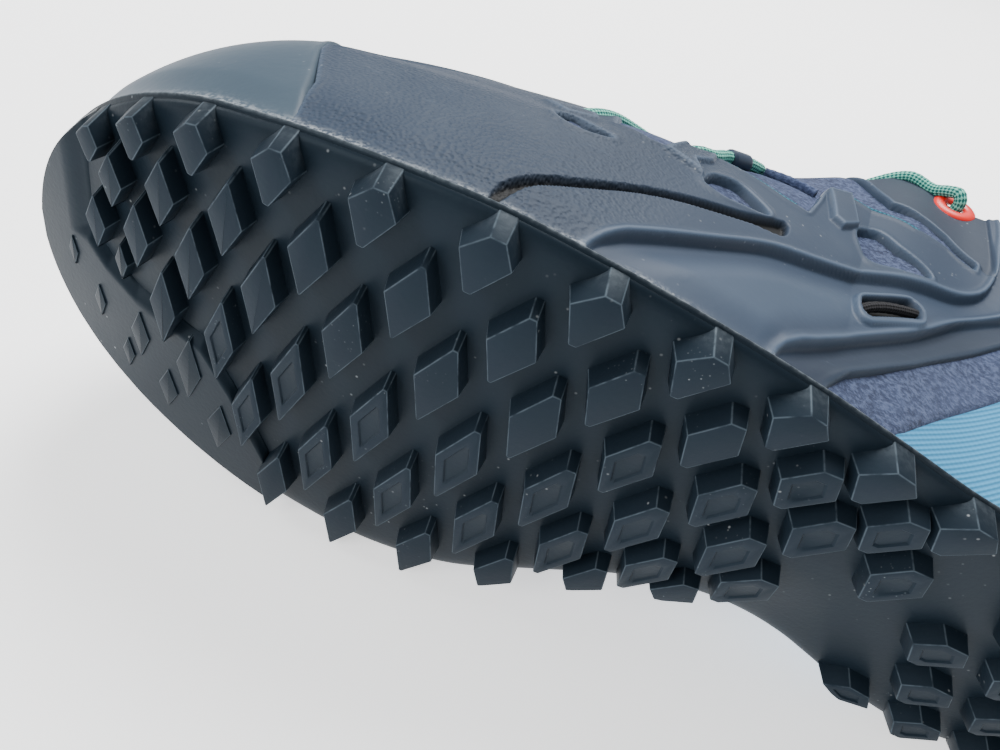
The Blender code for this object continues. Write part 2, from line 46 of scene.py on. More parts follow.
Edge = namedtuple("Edge", "x lateral medial")
OUTLINE = (
    Edge(3, 12.5, -14), Edge(9, 20, -21.5), Edge(20, 28, -29.5), Edge(40, 34.5, -36),
    Edge(60, 36, -37.5), Edge(80, 35.5, -34), Edge(100, 36.5, -28.5), Edge(120, 41, -26.5),
    Edge(140, 45.5, -29.5), Edge(160, 49, -39), Edge(180, 51.5, -50.5), Edge(200, 52.3, -56),
    Edge(220, 50.3, -57), Edge(240, 46.5, -55.5), Edge(256, 41.5, -52), Edge(270, 33.5, -47),
    Edge(281, 23.5, -40.5), Edge(289, 12.5, -32.5), Edge(294, 0.5, -23),
)
HEEL_END = (0.0, -1.0)
TOE_END = (LENGTH, -12.0)

# Each row ties a place on the foot outline (foot) to the top line of the upper above it.
Top = namedtuple("Top", "foot x lateral medial z square bulge")
HEEL_TOP = Top(0, 7, -1, -1, 100, 1.5, 4)
TOE_TOP = Top(LENGTH, 191, -8, -8, 80, 2.8, 0)
TOP_LINE = (
    Top(10, 11, 15, -17, 97, 1.5, 3), Top(35, 31, 28, -30, 86, 1.6, 3),
    Top(60, 54, 34, -36, 79.5, 1.75, 2), Top(85, 71, 42, -38, 102, 1.9, 1),
    Top(105, 84, 41, -38, 107, 2.0, 0), Top(125, 95, 39.5, -44, 118, 2.0, 0),
    Top(145, 110, 34, -38, 114, 2.0, 0), Top(165, 126, 29, -35, 106.5, 2.1, 0),
    Top(185, 142, 24.5, -33, 98.5, 2.15, 0), Top(205, 157, 20.5, -30.5, 91, 2.3, 0),
    Top(225, 169, 16, -27, 86, 2.5, 0), Top(245, 179, 11, -23.5, 83, 2.75, 0),
    Top(265, 186, 5.5, -19, 81, 3.0, 0), Top(284, 190, -1, -14, 80, 3.0, 0),
)

LUG_HEIGHT = 4.5
LUG_DRAFT = 0.9
LUG_BEVEL = 0.28
LUG_ROOM = 5.0
FACE_INSET = 1.6
ROOT_INSET = 0.35
ROOT_DEPTH = 0.9
EDGE_BLUNT = 0.30
HEEL_COLUMN = 82.0
HEEL_PITCH = 18.0
HEEL_ROOM = 3.5
SOLE_SHARP_DEG = 38
PITCH = 19.3
LugRow = namedtuple("LugRow", "offset first last half_length marked_from")
NEVER = 99.0
FORE_LUGS = (
    LugRow(6.0, -4.0, 6.0, 9.0, NEVER), LugRow(21.2, -3.5, 5.5, 9.8, 4.5),
    LugRow(37.0, -4.0, 6.0, 11.8, 3.0), LugRow(57.0, -2.5, 4.5, 14.2, -1.5),
    LugRow(77.0, -1.0, 5.0, 14.5, -1.0), LugRow(97.0, -0.5, 4.5, 12.5, NEVER),
)
HEEL_LUGS = (
    LugRow(6.5, 0.0, 3.0, 7.0, 0.0), LugRow(20.5, 0.5, 3.5, 7.5, 0.0), LugRow(35.5, 0.0, 3.0, 7.5, 0.0),
    LugRow(50.5, 0.5, 3.5, 7.5, 0.0), LugRow(65.0, 0.0, 3.0, 7.0, 0.0),
)
Site = namedtuple("Site", "x y wide long slant blunt edge marked")
LugSize = namedtuple("LugSize", "x half_width share slant blunt")
LUG_SIZES = (
    LugSize(95, 5.6, 0.80, 1.9, 0.38), LugSize(125, 5.6, 0.84, 1.9, 0.36),
    LugSize(150, 4.9, 0.92, 1.8, 0.30), LugSize(175, 4.8, 1.0, 1.4, 0.20),
    LugSize(200, 4.6, 1.0, 1.1, 0.12), LugSize(222, 4.3, 1.0, 0.8, 0.10),
    LugSize(240, 3.8, 0.92, 0.3, 0.08), LugSize(256, 3.5, 0.80, 0.0, 0.07),
    LugSize(278, 2.6, 0.56, 0.0, 0.07),
)
RowScale = namedtuple("RowScale", "x factor")
ROW_SCALE = (
    RowScale(95, 0.62), RowScale(122, 0.64), RowScale(142, 0.80), RowScale(161, 0.88), RowScale(180, 0.95),
    RowScale(200, 1.0), RowScale(222, 0.98), RowScale(238, 0.91), RowScale(252, 0.88), RowScale(264, 0.78),
    RowScale(278, 0.63),
)
PLATFORM_HEIGHT = 2.2
PLATFORM_START = 227.0
PLATFORM_END = 295.6
Ledge = namedtuple("Ledge", "x inner")
PLATFORM = (
    Ledge(228, -52), Ledge(231, -38), Ledge(242, -21), Ledge(250, -12), Ledge(258, -11), Ledge(268, -10),
    Ledge(276, -6.5), Ledge(281, -2),
)
TOE_LUG = Site(271.0, -4.0, 1.7, 5.0, 0.0, 0.07, False, False)
TOE_LUG_HEIGHT = 2.9
STAMP_RISE = 0.45
STAMP_BEVEL = 0.16
STAMP_BLUNT = 0.06
Stamp = namedtuple("Stamp", "x y wide long")
CLIMBING_STAMPS = (
    Stamp(267, -23.5, 2.6, 7.5), Stamp(253, -24, 3.4, 10.5), Stamp(244, -38, 3.4, 8.5),
    Stamp(259, -36, 2.8, 7.0), Stamp(271, -33, 1.8, 5.0), Stamp(279, -22, 1.6, 5.0),
    Stamp(286, -12, 1.3, 4.2),
)

# Outlines on the lateral side, as places on the upper: foot position and share of the height.
Spot = namedtuple("Spot", "foot v")
STRAP_EDGE = (
    Spot(100.3, 0.535), Spot(111, 0.575), Spot(121, 0.578), Spot(131, 0.600), Spot(135, 0.66),
    Spot(140, 0.76), Spot(147, 0.93), Spot(151, 1.05),
)
MOULDING = (
    Spot(236.8, -0.03), Spot(239.3, 0.069), Spot(248.0, 0.206), Spot(249.8, 0.25), Spot(246, 0.30),
    Spot(238, 0.37), Spot(230, 0.46), Spot(224, 0.58), Spot(216, 0.64), Spot(208, 0.60), Spot(205, 0.47),
    Spot(202, 0.37), Spot(196, 0.352), Spot(193.5, 0.36), Spot(193, 0.44), Spot(187, 0.466),
    Spot(174, 0.428), Spot(165, 0.397), Spot(158, 0.384), Spot(157, 0.47), Spot(156.5, 0.565),
    Spot(146, 0.585), Spot(134, 0.532), Spot(123, 0.507), Spot(111, 0.530), Spot(101, 0.512), *STRAP_EDGE,
    Spot(84, 1.05), Spot(83, 0.75), Spot(86, 0.42), Spot(93, 0.314), Spot(119, 0.131), Spot(134, 0.044),
    Spot(141, -0.03),
)
STRAP = (Spot(94, 0.50), *STRAP_EDGE, Spot(94, 1.05))
WINDOWS = (
    (
        Spot(208.5, 0.275), Spot(207, 0.302), Spot(203, 0.277), Spot(199.5, 0.262), Spot(202, 0.244),
        Spot(205, 0.243),
    ),
    (
        Spot(182.5, 0.287), Spot(182, 0.333), Spot(179, 0.346), Spot(172, 0.321), Spot(166.5, 0.286),
        Spot(173, 0.273), Spot(178, 0.268),
    ),
    (
        Spot(140.5, 0.419), Spot(135, 0.433), Spot(127, 0.396), Spot(116.5, 0.368), Spot(127, 0.330),
        Spot(135, 0.324),
    ),
)
RAND_GROOVE = (
    Spot(202.6, 0.012), Spot(201, 0.046), Spot(195, 0.098), Spot(185, 0.182), Spot(177, 0.224),
    Spot(168, 0.260), Spot(160.5, 0.287), Spot(159.5, 0.252), Spot(168, 0.228), Spot(177, 0.196),
    Spot(185, 0.158), Spot(194, 0.082), Spot(199.5, 0.034), Spot(201.5, -0.01),
)
UPPER_RIDGE = (
    Spot(187.5, -0.06), Spot(183, 0.037), Spot(179, 0.069), Spot(171, 0.125), Spot(162, 0.181),
    Spot(149, 0.225), Spot(130, 0.282), Spot(115, 0.338), Spot(104, 0.39), Spot(98.5, 0.43),
    Spot(94, 0.51), Spot(91, 0.68), Spot(90, 1.1),
)
LOWER_RIDGE = (
    Spot(150, -0.03), Spot(149, 0.006), Spot(143, 0.05), Spot(136, 0.094), Spot(120, 0.188), Spot(104, 0.317),
    Spot(92, 0.389), Spot(76, 0.50), Spot(70, 0.60), Spot(70, 1.1),
)
Boss = namedtuple("Boss", "rise spots")
BOSSES = (
    Boss(1.1, (
        Spot(193, 0.33), Spot(193, 0.437), Spot(187, 0.462), Spot(185.5, 0.39), Spot(187.5, 0.35),
        Spot(184, 0.30),
    )),
    Boss(1.6, (Spot(155.5, 0.555), Spot(147, 0.572), Spot(142, 0.42), Spot(146.5, 0.385), Spot(150.5, 0.40))),
    Boss(0.5, (Spot(214, 0.36), Spot(207, 0.40), Spot(205, 0.36), Spot(209, 0.325))),
)
LACE_CHANNEL = (Spot(191, 0.428), Spot(187, 0.468))
THROAT_PIPING = (Spot(178, 0.67), Spot(171, 0.625), Spot(164, 0.58), Spot(158.4, 0.545))
SLOT_ENDS = (Spot(133.5, 0.182), Spot(122.5, 0.232))
SLOT_RIM = 3.9
SLOT_HOLE = 2.3
EYELET = Spot(107.0, 0.93)
SUNK = -0.9
BURIED = -0.75
UPPER_RUN = 760.0
TEXTILE_END = 124.0
SUEDE_START = 46.0
SUEDE_RUN = 82.0
SUEDE_EDGE = (
    Spot(126, -0.02), Spot(119, 0.019), Spot(107, 0.104), Spot(94, 0.196), Spot(81, 0.304), Spot(63, 0.53),
    Spot(46, 0.66),
)
CAP_EDGE = (
    Spot(235.5, -0.02), Spot(237, 0.020), Spot(241, 0.100), Spot(247, 0.205), Spot(256, 0.400),
    Spot(266, 0.548), Spot(276, 0.640), Spot(286, 0.700), Spot(292, 0.722), Spot(LENGTH, 0.728),
)
FINGER_CABLES = (
    (Spot(186, 0.470), Spot(180, 0.450), Spot(174, 0.434), Spot(168, 0.412), Spot(162, 0.396)),
    (Spot(145, 0.590), Spot(139, 0.560), Spot(133, 0.536), Spot(127, 0.520), Spot(121, 0.512)),
)

CAMERA_PLACE = (197.150, 113.707, -92.233)
CAMERA_RIGHT = (-0.92431, 0.30938, 0.22347)
CAMERA_DOWN = (-0.37608, -0.63869, -0.67130)
CAMERA_LENS = 25.87


def smooth(start, end, value):
    t = np.clip((np.asarray(value, float) - start) / (end - start), 0.0, 1.0)
    return t * t * (3.0 - 2.0 * t)


def distances(points):
    """How far along a polyline each of its points lies."""
    return np.concatenate([[0.0], np.cumsum(np.linalg.norm(np.diff(points, axis=0), axis=1))])


def cubic(keys, table, slope, where):
    """Values between the rows of a table, with the given slope at each row."""
    i = np.clip(np.searchsorted(keys, where) - 1, 0, len(keys) - 2)
    step = (keys[i + 1] - keys[i])[:, None]
    t = (where - keys[i])[:, None] / step
    blend = t * t * (3.0 - 2.0 * t)
    tangents = (t ** 3 - 2 * t ** 2 + t) * slope[i] + (t ** 3 - t ** 2) * slope[i + 1]
    return table[i] * (1.0 - blend) + table[i + 1] * blend + tangents * step


def closed_curve(points, steps=24):
    """Points of a smooth closed curve through the given points."""
    p = np.asarray(points, float)
    after = np.roll(p, -1, 0)
    chord = np.linalg.norm(after - p, axis=1)[:, None]
    before = np.roll(chord, 1, 0)
    way = (after - p) / chord
    tangent = (way * before + np.roll(way, 1, 0) * chord) / (before + chord)
    t = np.linspace(0.0, 1.0, steps, endpoint=False)[None, :, None]
    a, b = p[:, None], after[:, None]
    ta, tb = (tangent * chord)[:, None], (np.roll(tangent, -1, 0) * chord)[:, None]
    curve = (2 * t ** 3 - 3 * t ** 2 + 1) * a + (t ** 3 - 2 * t ** 2 + t) * ta
    curve = curve + (3 * t ** 2 - 2 * t ** 3) * b + (t ** 3 - t ** 2) * tb
    return curve.reshape(-1, p.shape[1])


def spread(points, count):
    """Count points evenly spaced along a polyline."""
    run = distances(points)
    at = np.linspace(0.0, run[-1], count)
    return np.stack([np.interp(at, run, points[:, k]) for k in range(points.shape[1])], 1)


def open_curve(points, count):
    """Evenly spaced points of a smooth curve through a few given ones."""
    p = np.asarray(points, float)
    run = distances(p)
    at = np.linspace(0.0, run[-1], len(p) * 24)
    return spread(cubic(run, p, np.gradient(p, run, axis=0), at), count)


def foot_outline(count):
    """The sole's outline: heel, lateral side, toe at count / 2, medial side."""
    lateral = [(e.x, e.lateral) for e in OUTLINE]
    medial = [(e.x, e.medial) for e in reversed(OUTLINE)]
    fine = closed_curve([HEEL_END] + lateral + [TOE_END] + medial)
    toe = 24 * (len(OUTLINE) + 1)
    half = count // 2 + 1
    front = spread(fine[:toe + 1], half)
    back = spread(np.concatenate([fine[toe:], fine[:1]]), half)
    return np.concatenate([front, back[1:-1]])


def inward(outline):
    """Unit vectors across the outline, towards the foot."""
    way = np.roll(outline, -1, 0) - np.roll(outline, 1, 0)
    way = way / np.linalg.norm(way, axis=1)[:, None]
    return np.stack([way[:, 1], -way[:, 0]], 1)


def bottom(x, y):
    """Height of the sole's base sheet: toe spring, heel drop and the raised arch."""
    spring = TOE_SPRING * (np.maximum(x - SPRING_START, 0.0) / (LENGTH - SPRING_START)) ** 2
    drop = HEEL_DROP * (1.0 - smooth(60, 110, x))
    arch = ARCH_RISE * np.exp(-((x - 118.0) / 34.0) ** 2) * smooth(5, -28, y)
    return spring - drop + arch


def side_height(x):
    """Thickness of the sole's edge: thin at the forefoot, a stack at the heel."""
    return 3.0 + 10.0 * (1.0 - smooth(20, 95, x)) + 2.0 * smooth(262, 296, x)


class Foot:
    """The upper's surface, by place round the foot (u, in loop steps), height v and lift outwards."""
    COUNT = 720

    def __init__(self):
        self.line = foot_outline(self.COUNT)
        self.inner = inward(self.line)
        x, y = self.line.T
        base = self.line + self.inner * FOOT_INSET
        self.base = np.column_stack([base, bottom(x, y) + side_height(x) + GAP])
        self.top = np.zeros((self.COUNT, 5))
        half = self.COUNT // 2
        medial = np.concatenate([[0], np.arange(self.COUNT - 1, half - 1, -1)])
        self.sides = {1: np.arange(half + 1), -1: medial}
        for side, places in self.sides.items():
            self.top[places] = self.top_values(side, places)

    def top_values(self, side, places):
        points = self.line[places]
        run = distances(points)
        rows = (HEEL_TOP,) + TOP_LINE + (TOE_TOP,)
        keys = np.array([np.interp(row.foot, points[:, 0], run) for row in rows])
        keys[0], keys[-1] = 0.0, run[-1]
        across = [row.lateral if side > 0 else row.medial for row in rows]
        table = np.array([(r.x, y, r.z, r.square, r.bulge) for r, y in zip(rows, across)])
        slope = np.gradient(table, keys, axis=0)
        slope[0] = slope[-1] = 0.0
        return cubic(keys, table, slope, run)

    def place(self, side, foot):
        """Loop step of a foot position on one side."""
        places = self.sides[side]
        steps = np.interp(foot, self.line[places, 0], np.arange(len(places)))
        return steps if side > 0 else (self.COUNT - steps)

    def pick(self, values, u):
        low = np.floor(u).astype(int)
        part = (u - low)[..., None]
        return values[low % self.COUNT] * (1 - part) + values[(low + 1) % self.COUNT] * part

    def along(self, u):
        """Foot position of a place round the foot."""
        return self.pick(self.line, u)[..., 0]

    def point(self, u, v):
        base, top, inner = (self.pick(values, u) for values in (self.base, self.top, self.inner))
        angle = np.clip(v, 0.0, 1.0) * pi / 2
        power = 2.0 / top[..., 3]
        over = 1.0 - np.maximum(np.cos(angle), 0.0) ** power
        rise = np.maximum(np.sin(angle), 0.0) ** power
        reach = top[..., :2] - base[..., :2]
        across = inner * np.maximum((reach * inner).sum(-1), 0.0)[..., None]
        quarter = (1.0 - smooth(170, 240, base[..., 0]))[..., None]
        plan = base[..., :2] + reach * over[..., None]
        plan = plan + (reach - across) * quarter * (rise - over)[..., None]
        plan = plan - inner * (top[..., 4] * np.sin(np.pi * v))[..., None]
        height = base[..., 2] + (top[..., 2] - base[..., 2]) * rise
        return np.concatenate([plan, height[..., None]], -1)

    def normal(self, u, v):
        v = np.clip(v, 0.01, 0.985)
        along = self.point(u + 1.5, v) - self.point(u - 1.5, v)
        up = self.point(u, v + 0.006) - self.point(u, v - 0.006)
        normal = np.cross(up, along)
        return normal / np.linalg.norm(normal, axis=-1)[..., None]

    def skin(self, u, v, lift=0.0):
        u, v = np.broadcast_arrays(np.asarray(u, float), np.asarray(v, float))
        return self.point(u, v) + self.normal(u, v) * np.asarray(lift, float)[..., None]


FOOT = Foot()


def place_matrix():
    """From the foot's frame in millimetres to the part's frame in metres, lying on its medial side."""
    lie = Matrix(((-1, 0, 0, 0), (0, 0, 1, 0), (0, 1, 0, 0), (0, 0, 0, 1)))
    turn = Matrix.Rotation(radians(LIE_PITCH_DEG), 4, "Y") @ Matrix.Rotation(radians(LIE_ROLL_DEG), 4, "X")
    return Matrix.Scale(MM, 4) @ Matrix.Translation(LIE_SHIFT) @ turn @ lie


PLACE = place_matrix()


class Wire:
    """A shader socket; arithmetic on it adds Math nodes."""

    def __init__(self, finish, socket):
        self.finish = finish
        self.socket = socket

    def math(self, operation, *others):
        return self.finish.node("ShaderNodeMath", {"operation": operation}, dict(enumerate((self,) + others)))

    def __add__(self, other):
        return self.math("ADD", other)

    def __mul__(self, other):
        return self.math("MULTIPLY", other)

    def __sub__(self, other):
        return self.math("SUBTRACT", other)

    def __rsub__(self, other):
        return self.math("MULTIPLY", -1.0).math("ADD", other)

    __radd__ = __add__
    __rmul__ = __mul__

    def step(self, low, high):
        """0 below low, 1 above high, smooth between."""
        values = {"Value": self, "From Min": low, "From Max": high}
        return self.finish.node("ShaderNodeMapRange", {"interpolation_type": "SMOOTHSTEP"}, values)


class Finish:
    """A material under construction."""

    def __init__(self, name, **constants):
        self.material = bpy.data.materials.new(name)
        self.material.use_nodes = True
        self.tree = self.material.node_tree
        self.shader = self.tree.nodes["Principled BSDF"]
        for key, value in constants.items():
            self.shader.inputs[key.replace("_", " ")].default_value = value

    def node(self, kind, settings, sockets, output=0):
        """A node of any type with its settings, then the values or links of its sockets."""
        node = self.tree.nodes.new(kind)
        for key, value in settings.items():
            setattr(node, key, value)
        for key, value in sockets.items():
            if isinstance(value, Wire):
                self.tree.links.new(value.socket, node.inputs[key])
            else:
                node.inputs[key].default_value = value
        return Wire(self, node.outputs[output])

    def place(self):
        return self.node("ShaderNodeTexCoord", {}, {}, "Object")

    def surface(self):
        return self.node("ShaderNodeUVMap", {"uv_map": "surface"}, {})

    def mark(self, name):
        """A number painted on the piece's points."""
        return self.node("ShaderNodeAttribute", {"attribute_name": name}, {}, "Fac")

    def noise(self, scale, detail=3.0, where=None, rough=0.55):
        where = where or self.place()
        values = {"Vector": where, "Scale": scale, "Detail": detail, "Roughness": rough}
        return self.node("ShaderNodeTexNoise", {}, values)

    def cells(self, scale, feature="F1"):
        values = {"Vector": self.place(), "Scale": scale}
        return self.node("ShaderNodeTexVoronoi", {"feature": feature}, values, "Distance")

    def stretch(self, where, factors):
        return self.node("ShaderNodeVectorMath", {"operation": "MULTIPLY"}, {0: where, 1: factors})

    def part(self, where, axis):
        return self.node("ShaderNodeSeparateXYZ", {}, {"Vector": where}, axis)

    def mix(self, share, low, high):
        """A colour between two."""
        node = self.node("ShaderNodeMix", {"data_type": "RGBA"}, {"Factor": share}, 2)
        ends = [s for s in node.socket.node.inputs if s.type == "RGBA"]
        for socket, value in zip(ends, (low, high)):
            if isinstance(value, Wire):
                self.tree.links.new(value.socket, socket)
            else:
                socket.default_value = (*value, 1.0)
        return node

    def bump(self, height, distance):
        """Relief of a height between 0 and 1, by a distance in millimetres."""
        return self.node("ShaderNodeBump", {}, {"Height": height, "Distance": distance * MM})

    def feed(self, key, wire):
        self.tree.links.new(wire.socket, self.shader.inputs[key])
        return self

    def finished(self, colour, relief, distance, roughness=None):
        """The material, fed with its colour, its relief and any roughness that varies."""
        self.feed("Base Color", colour)
        if roughness:
            self.feed("Roughness", roughness)
        return self.feed("Normal", self.bump(relief, distance)).material


def srgb(*values):
    """Linear colour of a colour as the eye reads it, 0 to 255."""
    return tuple(((v / 255.0 + 0.055) / 1.055) ** 2.4 if v > 10 else v / 3294.6 for v in values)


def dusty(finish, colour, specks=1.0, amount=0.5):
    """Pale dust specks and a faint film of dust over a colour."""
    spots = finish.cells(420.0).step(0.16, 0.05) * finish.noise(60.0).step(0.52, 0.72) * specks
    film = finish.noise(26.0, 5.0).step(0.50, 0.85) * (0.10 * amount)
    colour = finish.mix(film, colour, srgb(150, 156, 162))
    return finish.mix(spots * 0.55, colour, srgb(190, 194, 196))


def sole_rubber():
    f = Finish("sole_rubber", Specular_IOR_Level=0.11, Specular_Tint=(0.72, 0.88, 1.0, 1.0))
    # Lug faces are lighter than the base: wear on the rubber, and a painted highlight where the faces meet
    # the light.
    worn_and_lit = f.mark("worn_and_lit")
    cloudy = f.noise(34.0, 4.0)
    base = f.mix(cloudy, srgb(15, 23, 30), srgb(25, 35, 44))
    face = f.mix(cloudy, srgb(18, 27, 35), srgb(29, 39, 49))
    colour = f.mix(worn_and_lit, base, face)
    # Lug rims: rubbing wear and a painted highlight along the bevels.
    rim_wear_and_highlight = f.mark("rim_scuff_and_highlight") * f.noise(300.0, 4.0).step(0.25, 0.60)
    colour = f.mix(rim_wear_and_highlight * 0.42, colour, srgb(104, 118, 128))
    dust = f.cells(900.0).step(0.20, 0.06) * f.noise(45.0, 4.0).step(0.54, 0.70)
    colour = f.mix(dust * worn_and_lit * 0.5, colour, srgb(150, 158, 162))
    # A pale band along the top of the sole's edge: dust, and a painted highlight on the rounded lip.
    edge = f.mark("lip") * (f.noise(800.0, 4.0).step(0.40, 0.62) * 0.35 + 0.22)
    colour = f.mix(edge, dusty(f, colour, 0.8, 0.08), srgb(122, 130, 136))
    return f.finished(colour, f.noise(900.0, 3.0), 0.05, 0.36 + worn_and_lit * 0.16 + cloudy * 0.14)


def glue_flecks(f, colour):
    """The whitish line of dried glue and dust where the upper meets the sole."""
    crumbs = f.noise(1400.0, 4.0).step(0.42, 0.58) * f.noise(75.0, 4.0).step(0.36, 0.62)
    return f.mix(f.mark("low") * (crumbs * 0.75 + 0.06), colour, srgb(172, 178, 182))


def cap_rubber():
    f = Finish("cap_rubber", Specular_IOR_Level=0.3)
    cloudy = f.noise(22.0, 4.0)
    colour = f.mix(cloudy, srgb(44, 58, 70), srgb(58, 74, 87))
    colour = glue_flecks(f, dusty(f, colour, 0.35, 0.9))
    return f.finished(colour, f.noise(520.0, 3.0), 0.06, 0.44 + cloudy * 0.16)


def moulded_film():
    f = Finish("moulded_film", Specular_IOR_Level=0.2)
    grain, dark, crest = f.mark("grain"), f.mark("dark"), f.mark("crest")
    cloudy = f.noise(24.0, 4.0)
    film = f.mix(cloudy, srgb(36, 48, 64), srgb(48, 61, 79))
    rand = f.mix(cloudy, srgb(35, 46, 61), srgb(45, 57, 73))
    colour = f.mix(grain, film, rand)
    scratches = f.noise(1.0, 3.0, f.stretch(f.place(), (90.0, 700.0, 700.0)), 0.6).step(0.62, 0.74)
    # Lighter crests and edges: wear and a painted highlight; the lighter lower hollow is a painted
    # reflection.
    colour = f.mix(crest * 0.40 + scratches * 0.10, colour, srgb(92, 108, 128))
    colour = glue_flecks(f, dusty(f, colour, 0.7, 0.7))
    # Painted shade: near black in the slot hole and the rand groove, darker under the lower ridge and on the
    # sunk strap.
    colour = f.mix(dark, colour, srgb(8, 9, 11))
    pebbles = f.cells(1300.0, feature="SMOOTH_F1") * grain + f.noise(700.0, 3.0) * 0.12
    return f.finished(colour, pebbles, 0.30, 0.46 + grain * 0.10 + cloudy * 0.12)


def suede():
    f = Finish("suede", Roughness=0.95, Specular_IOR_Level=0.15, Sheen_Weight=0.05, Sheen_Roughness=0.6)
    patches = f.noise(70.0, 5.0)
    nap = f.noise(1.0, 4.0, f.stretch(f.place(), (700.0, 900.0, 1300.0)), 0.7)
    colour = f.mix(patches.step(0.25, 0.75), srgb(35, 42, 63), srgb(51, 61, 88))
    colour = f.mix(nap.step(0.40, 0.64) * 0.6, colour, srgb(88, 101, 132))
    return f.finished(colour, nap + patches * 0.5, 0.5)


def ribbed_textile():
    f = Finish("ribbed_textile", Specular_IOR_Level=0.3)
    along, up = (f.part(f.place(), axis) for axis in ("X", "Y"))
    rib = ((up * 0.82 - along * 0.57) * (2 * pi / (0.95 * MM))).math("SINE") * 0.5 + 0.5
    cross = ((up * 0.57 + along * 0.82) * (2 * pi / (1.6 * MM))).math("SINE") * 0.5 + 0.5
    shade = f.noise(40.0, 3.0)
    colour = f.mix(rib * 0.45 + shade * 0.4, srgb(42, 116, 158), srgb(72, 154, 198))
    colour = f.mix(cross * 0.25, colour, srgb(50, 118, 154))
    return f.finished(colour, rib + cross * 0.3, 0.14, 0.62 + shade * 0.15)


def knit(name, dark, light, size=1.6):
    """A plain knitted or woven cloth on the piece's own surface."""
    f = Finish(name, Roughness=0.9, Specular_IOR_Level=0.2)
    along, up = (f.part(f.surface(), axis) for axis in ("X", "Y"))
    loops = (along * (2 * pi / size)).math("SINE") * (up * (2 * pi / size)).math("SINE") * 0.5 + 0.5
    return f.finished(f.mix(loops * 0.7 + f.noise(120.0) * 0.3, dark, light), loops, 0.25)


def braid(name, dark, light, strands=6.0, pitch=4.2):
    """A round braided cord: two families of strands, crossing."""
    f = Finish(name, Roughness=0.8, Specular_IOR_Level=0.25)
    around, along = (f.part(f.surface(), axis) for axis in ("X", "Y"))
    turn = around * (2 * pi * strands)
    run = along * (2 * pi / pitch * 2.0)
    weave = (turn + run).math("SINE") * (turn - run).math("SINE")
    return f.finished(f.mix(weave.step(-0.25, 0.25), dark, light), weave * 0.5 + 0.5, 0.22)


def red_plastic():
    f = Finish("red_plastic", Specular_IOR_Level=0.5)
    cloudy = f.noise(160.0, 3.0)
    colour = f.mix(cloudy, srgb(205, 14, 8), srgb(230, 34, 22))
    return f.finished(colour, cloudy, 0.03, 0.30 + cloudy * 0.15)


def plain_floor():
    f = Finish("plain_floor", Roughness=0.85, Specular_IOR_Level=0.1, Emission_Strength=1.0)
    colour = f.mix(f.noise(3.0), (0.90, 0.905, 0.91), (0.93, 0.93, 0.935))
    f.shader.inputs["Emission Color"].default_value = (1.0, 1.0, 1.0, 1.0)
    return f.feed("Base Color", colour).material


def new_object(name, data):
    made = bpy.data.objects.new(name, data)
    bpy.context.scene.collection.objects.link(made)
    return made


def add_piece(name, bm, finishes, stands_for=(), sharp_deg=None):
    """A finished bmesh, in the foot's frame, as a piece of the shoe in the part's frame."""
    bm.transform(PLACE)
    mesh = bpy.data.meshes.new(name)
    bm.to_mesh(mesh)
    bm.free()
    for finish in finishes:
        mesh.materials.append(finish)
    mesh.shade_smooth()
    if sharp_deg:
        mesh.set_sharp_from_angle(angle=radians(sharp_deg))
    piece = new_object(name, mesh)
    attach(piece, "root")
    if stands_for:
        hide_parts(*stands_for)
    return piece


def mapped_grid(columns, rows, place, scale=(1.0, 1.0), marks=None):
    """A grid over the unit square, carried over by place(s, t); marks are numbers kept on its points."""
    bm = bmesh.new()
    bmesh.ops.create_grid(bm, x_segments=columns, y_segments=rows, size=0.5)
    flat = np.array([v.co[:2] for v in bm.verts]) + 0.5
    s, t = flat.T
    for vert, point in zip(bm.verts, place(s, t)):
        vert.co = point
    uv = bm.loops.layers.uv.new("surface")
    bm.verts.index_update()
    spots = flat * np.array(scale)
    for face in bm.faces:
        for loop in face.loops:
            loop[uv].uv = spots[loop.vert.index]
    for name, values in (marks(s, t) if marks else {}).items():
        layer = bm.verts.layers.float.new(name)
        for vert, value in zip(bm.verts, values):
            vert[layer] = value
    return bm


def turn_over(bm):
    bmesh.ops.reverse_faces(bm, faces=bm.faces[:])


def even_normals(bm):
    bmesh.ops.recalc_face_normals(bm, faces=bm.faces[:])


def face_outwards(bm, inside=(150.0, 0.0, 45.0)):
    """Turn a sheet's faces away from the inside of the shoe."""
    centre = Vector(inside)
    bm.normal_update()
    outward = sum((f.calc_center_median() - centre).dot(f.normal) * f.calc_area() for f in bm.faces)
    if outward < 0:
        turn_over(bm)


def weld(bm, distance=0.002):
    bmesh.ops.remove_doubles(bm, verts=bm.verts[:], dist=distance)


def absorb(whole, bm):
    """Move a bmesh into a larger one."""
    mesh = bpy.data.meshes.new("part")
    bm.to_mesh(mesh)
    bm.free()
    whole.from_mesh(mesh)
    bpy.data.meshes.remove(mesh)


def joined(bmeshes):
    """Several bmeshes as one."""
    whole = bmesh.new()
    for bm in bmeshes:
        absorb(whole, bm)
    return whole


def flat_spots(spots):
    """Outline spots as points on the unrolled side, about a millimetre to the unit."""
    return np.array([(s.foot, s.v * 100.0) for s in spots], float)


def rounded(spots, steps=6):
    return closed_curve(flat_spots(spots), steps)


def from_segment(start, end, f, h):
    """Distance from a straight stretch between two points."""
    (ax, ay), (bx, by) = start, end
    dx, dy = bx - ax, by - ay
    t = np.clip(((f - ax) * dx + (h - ay) * dy) / max(dx * dx + dy * dy, 1e-9), 0.0, 1.0)
    return np.hypot(f - ax - t * dx, h - ay - t * dy)


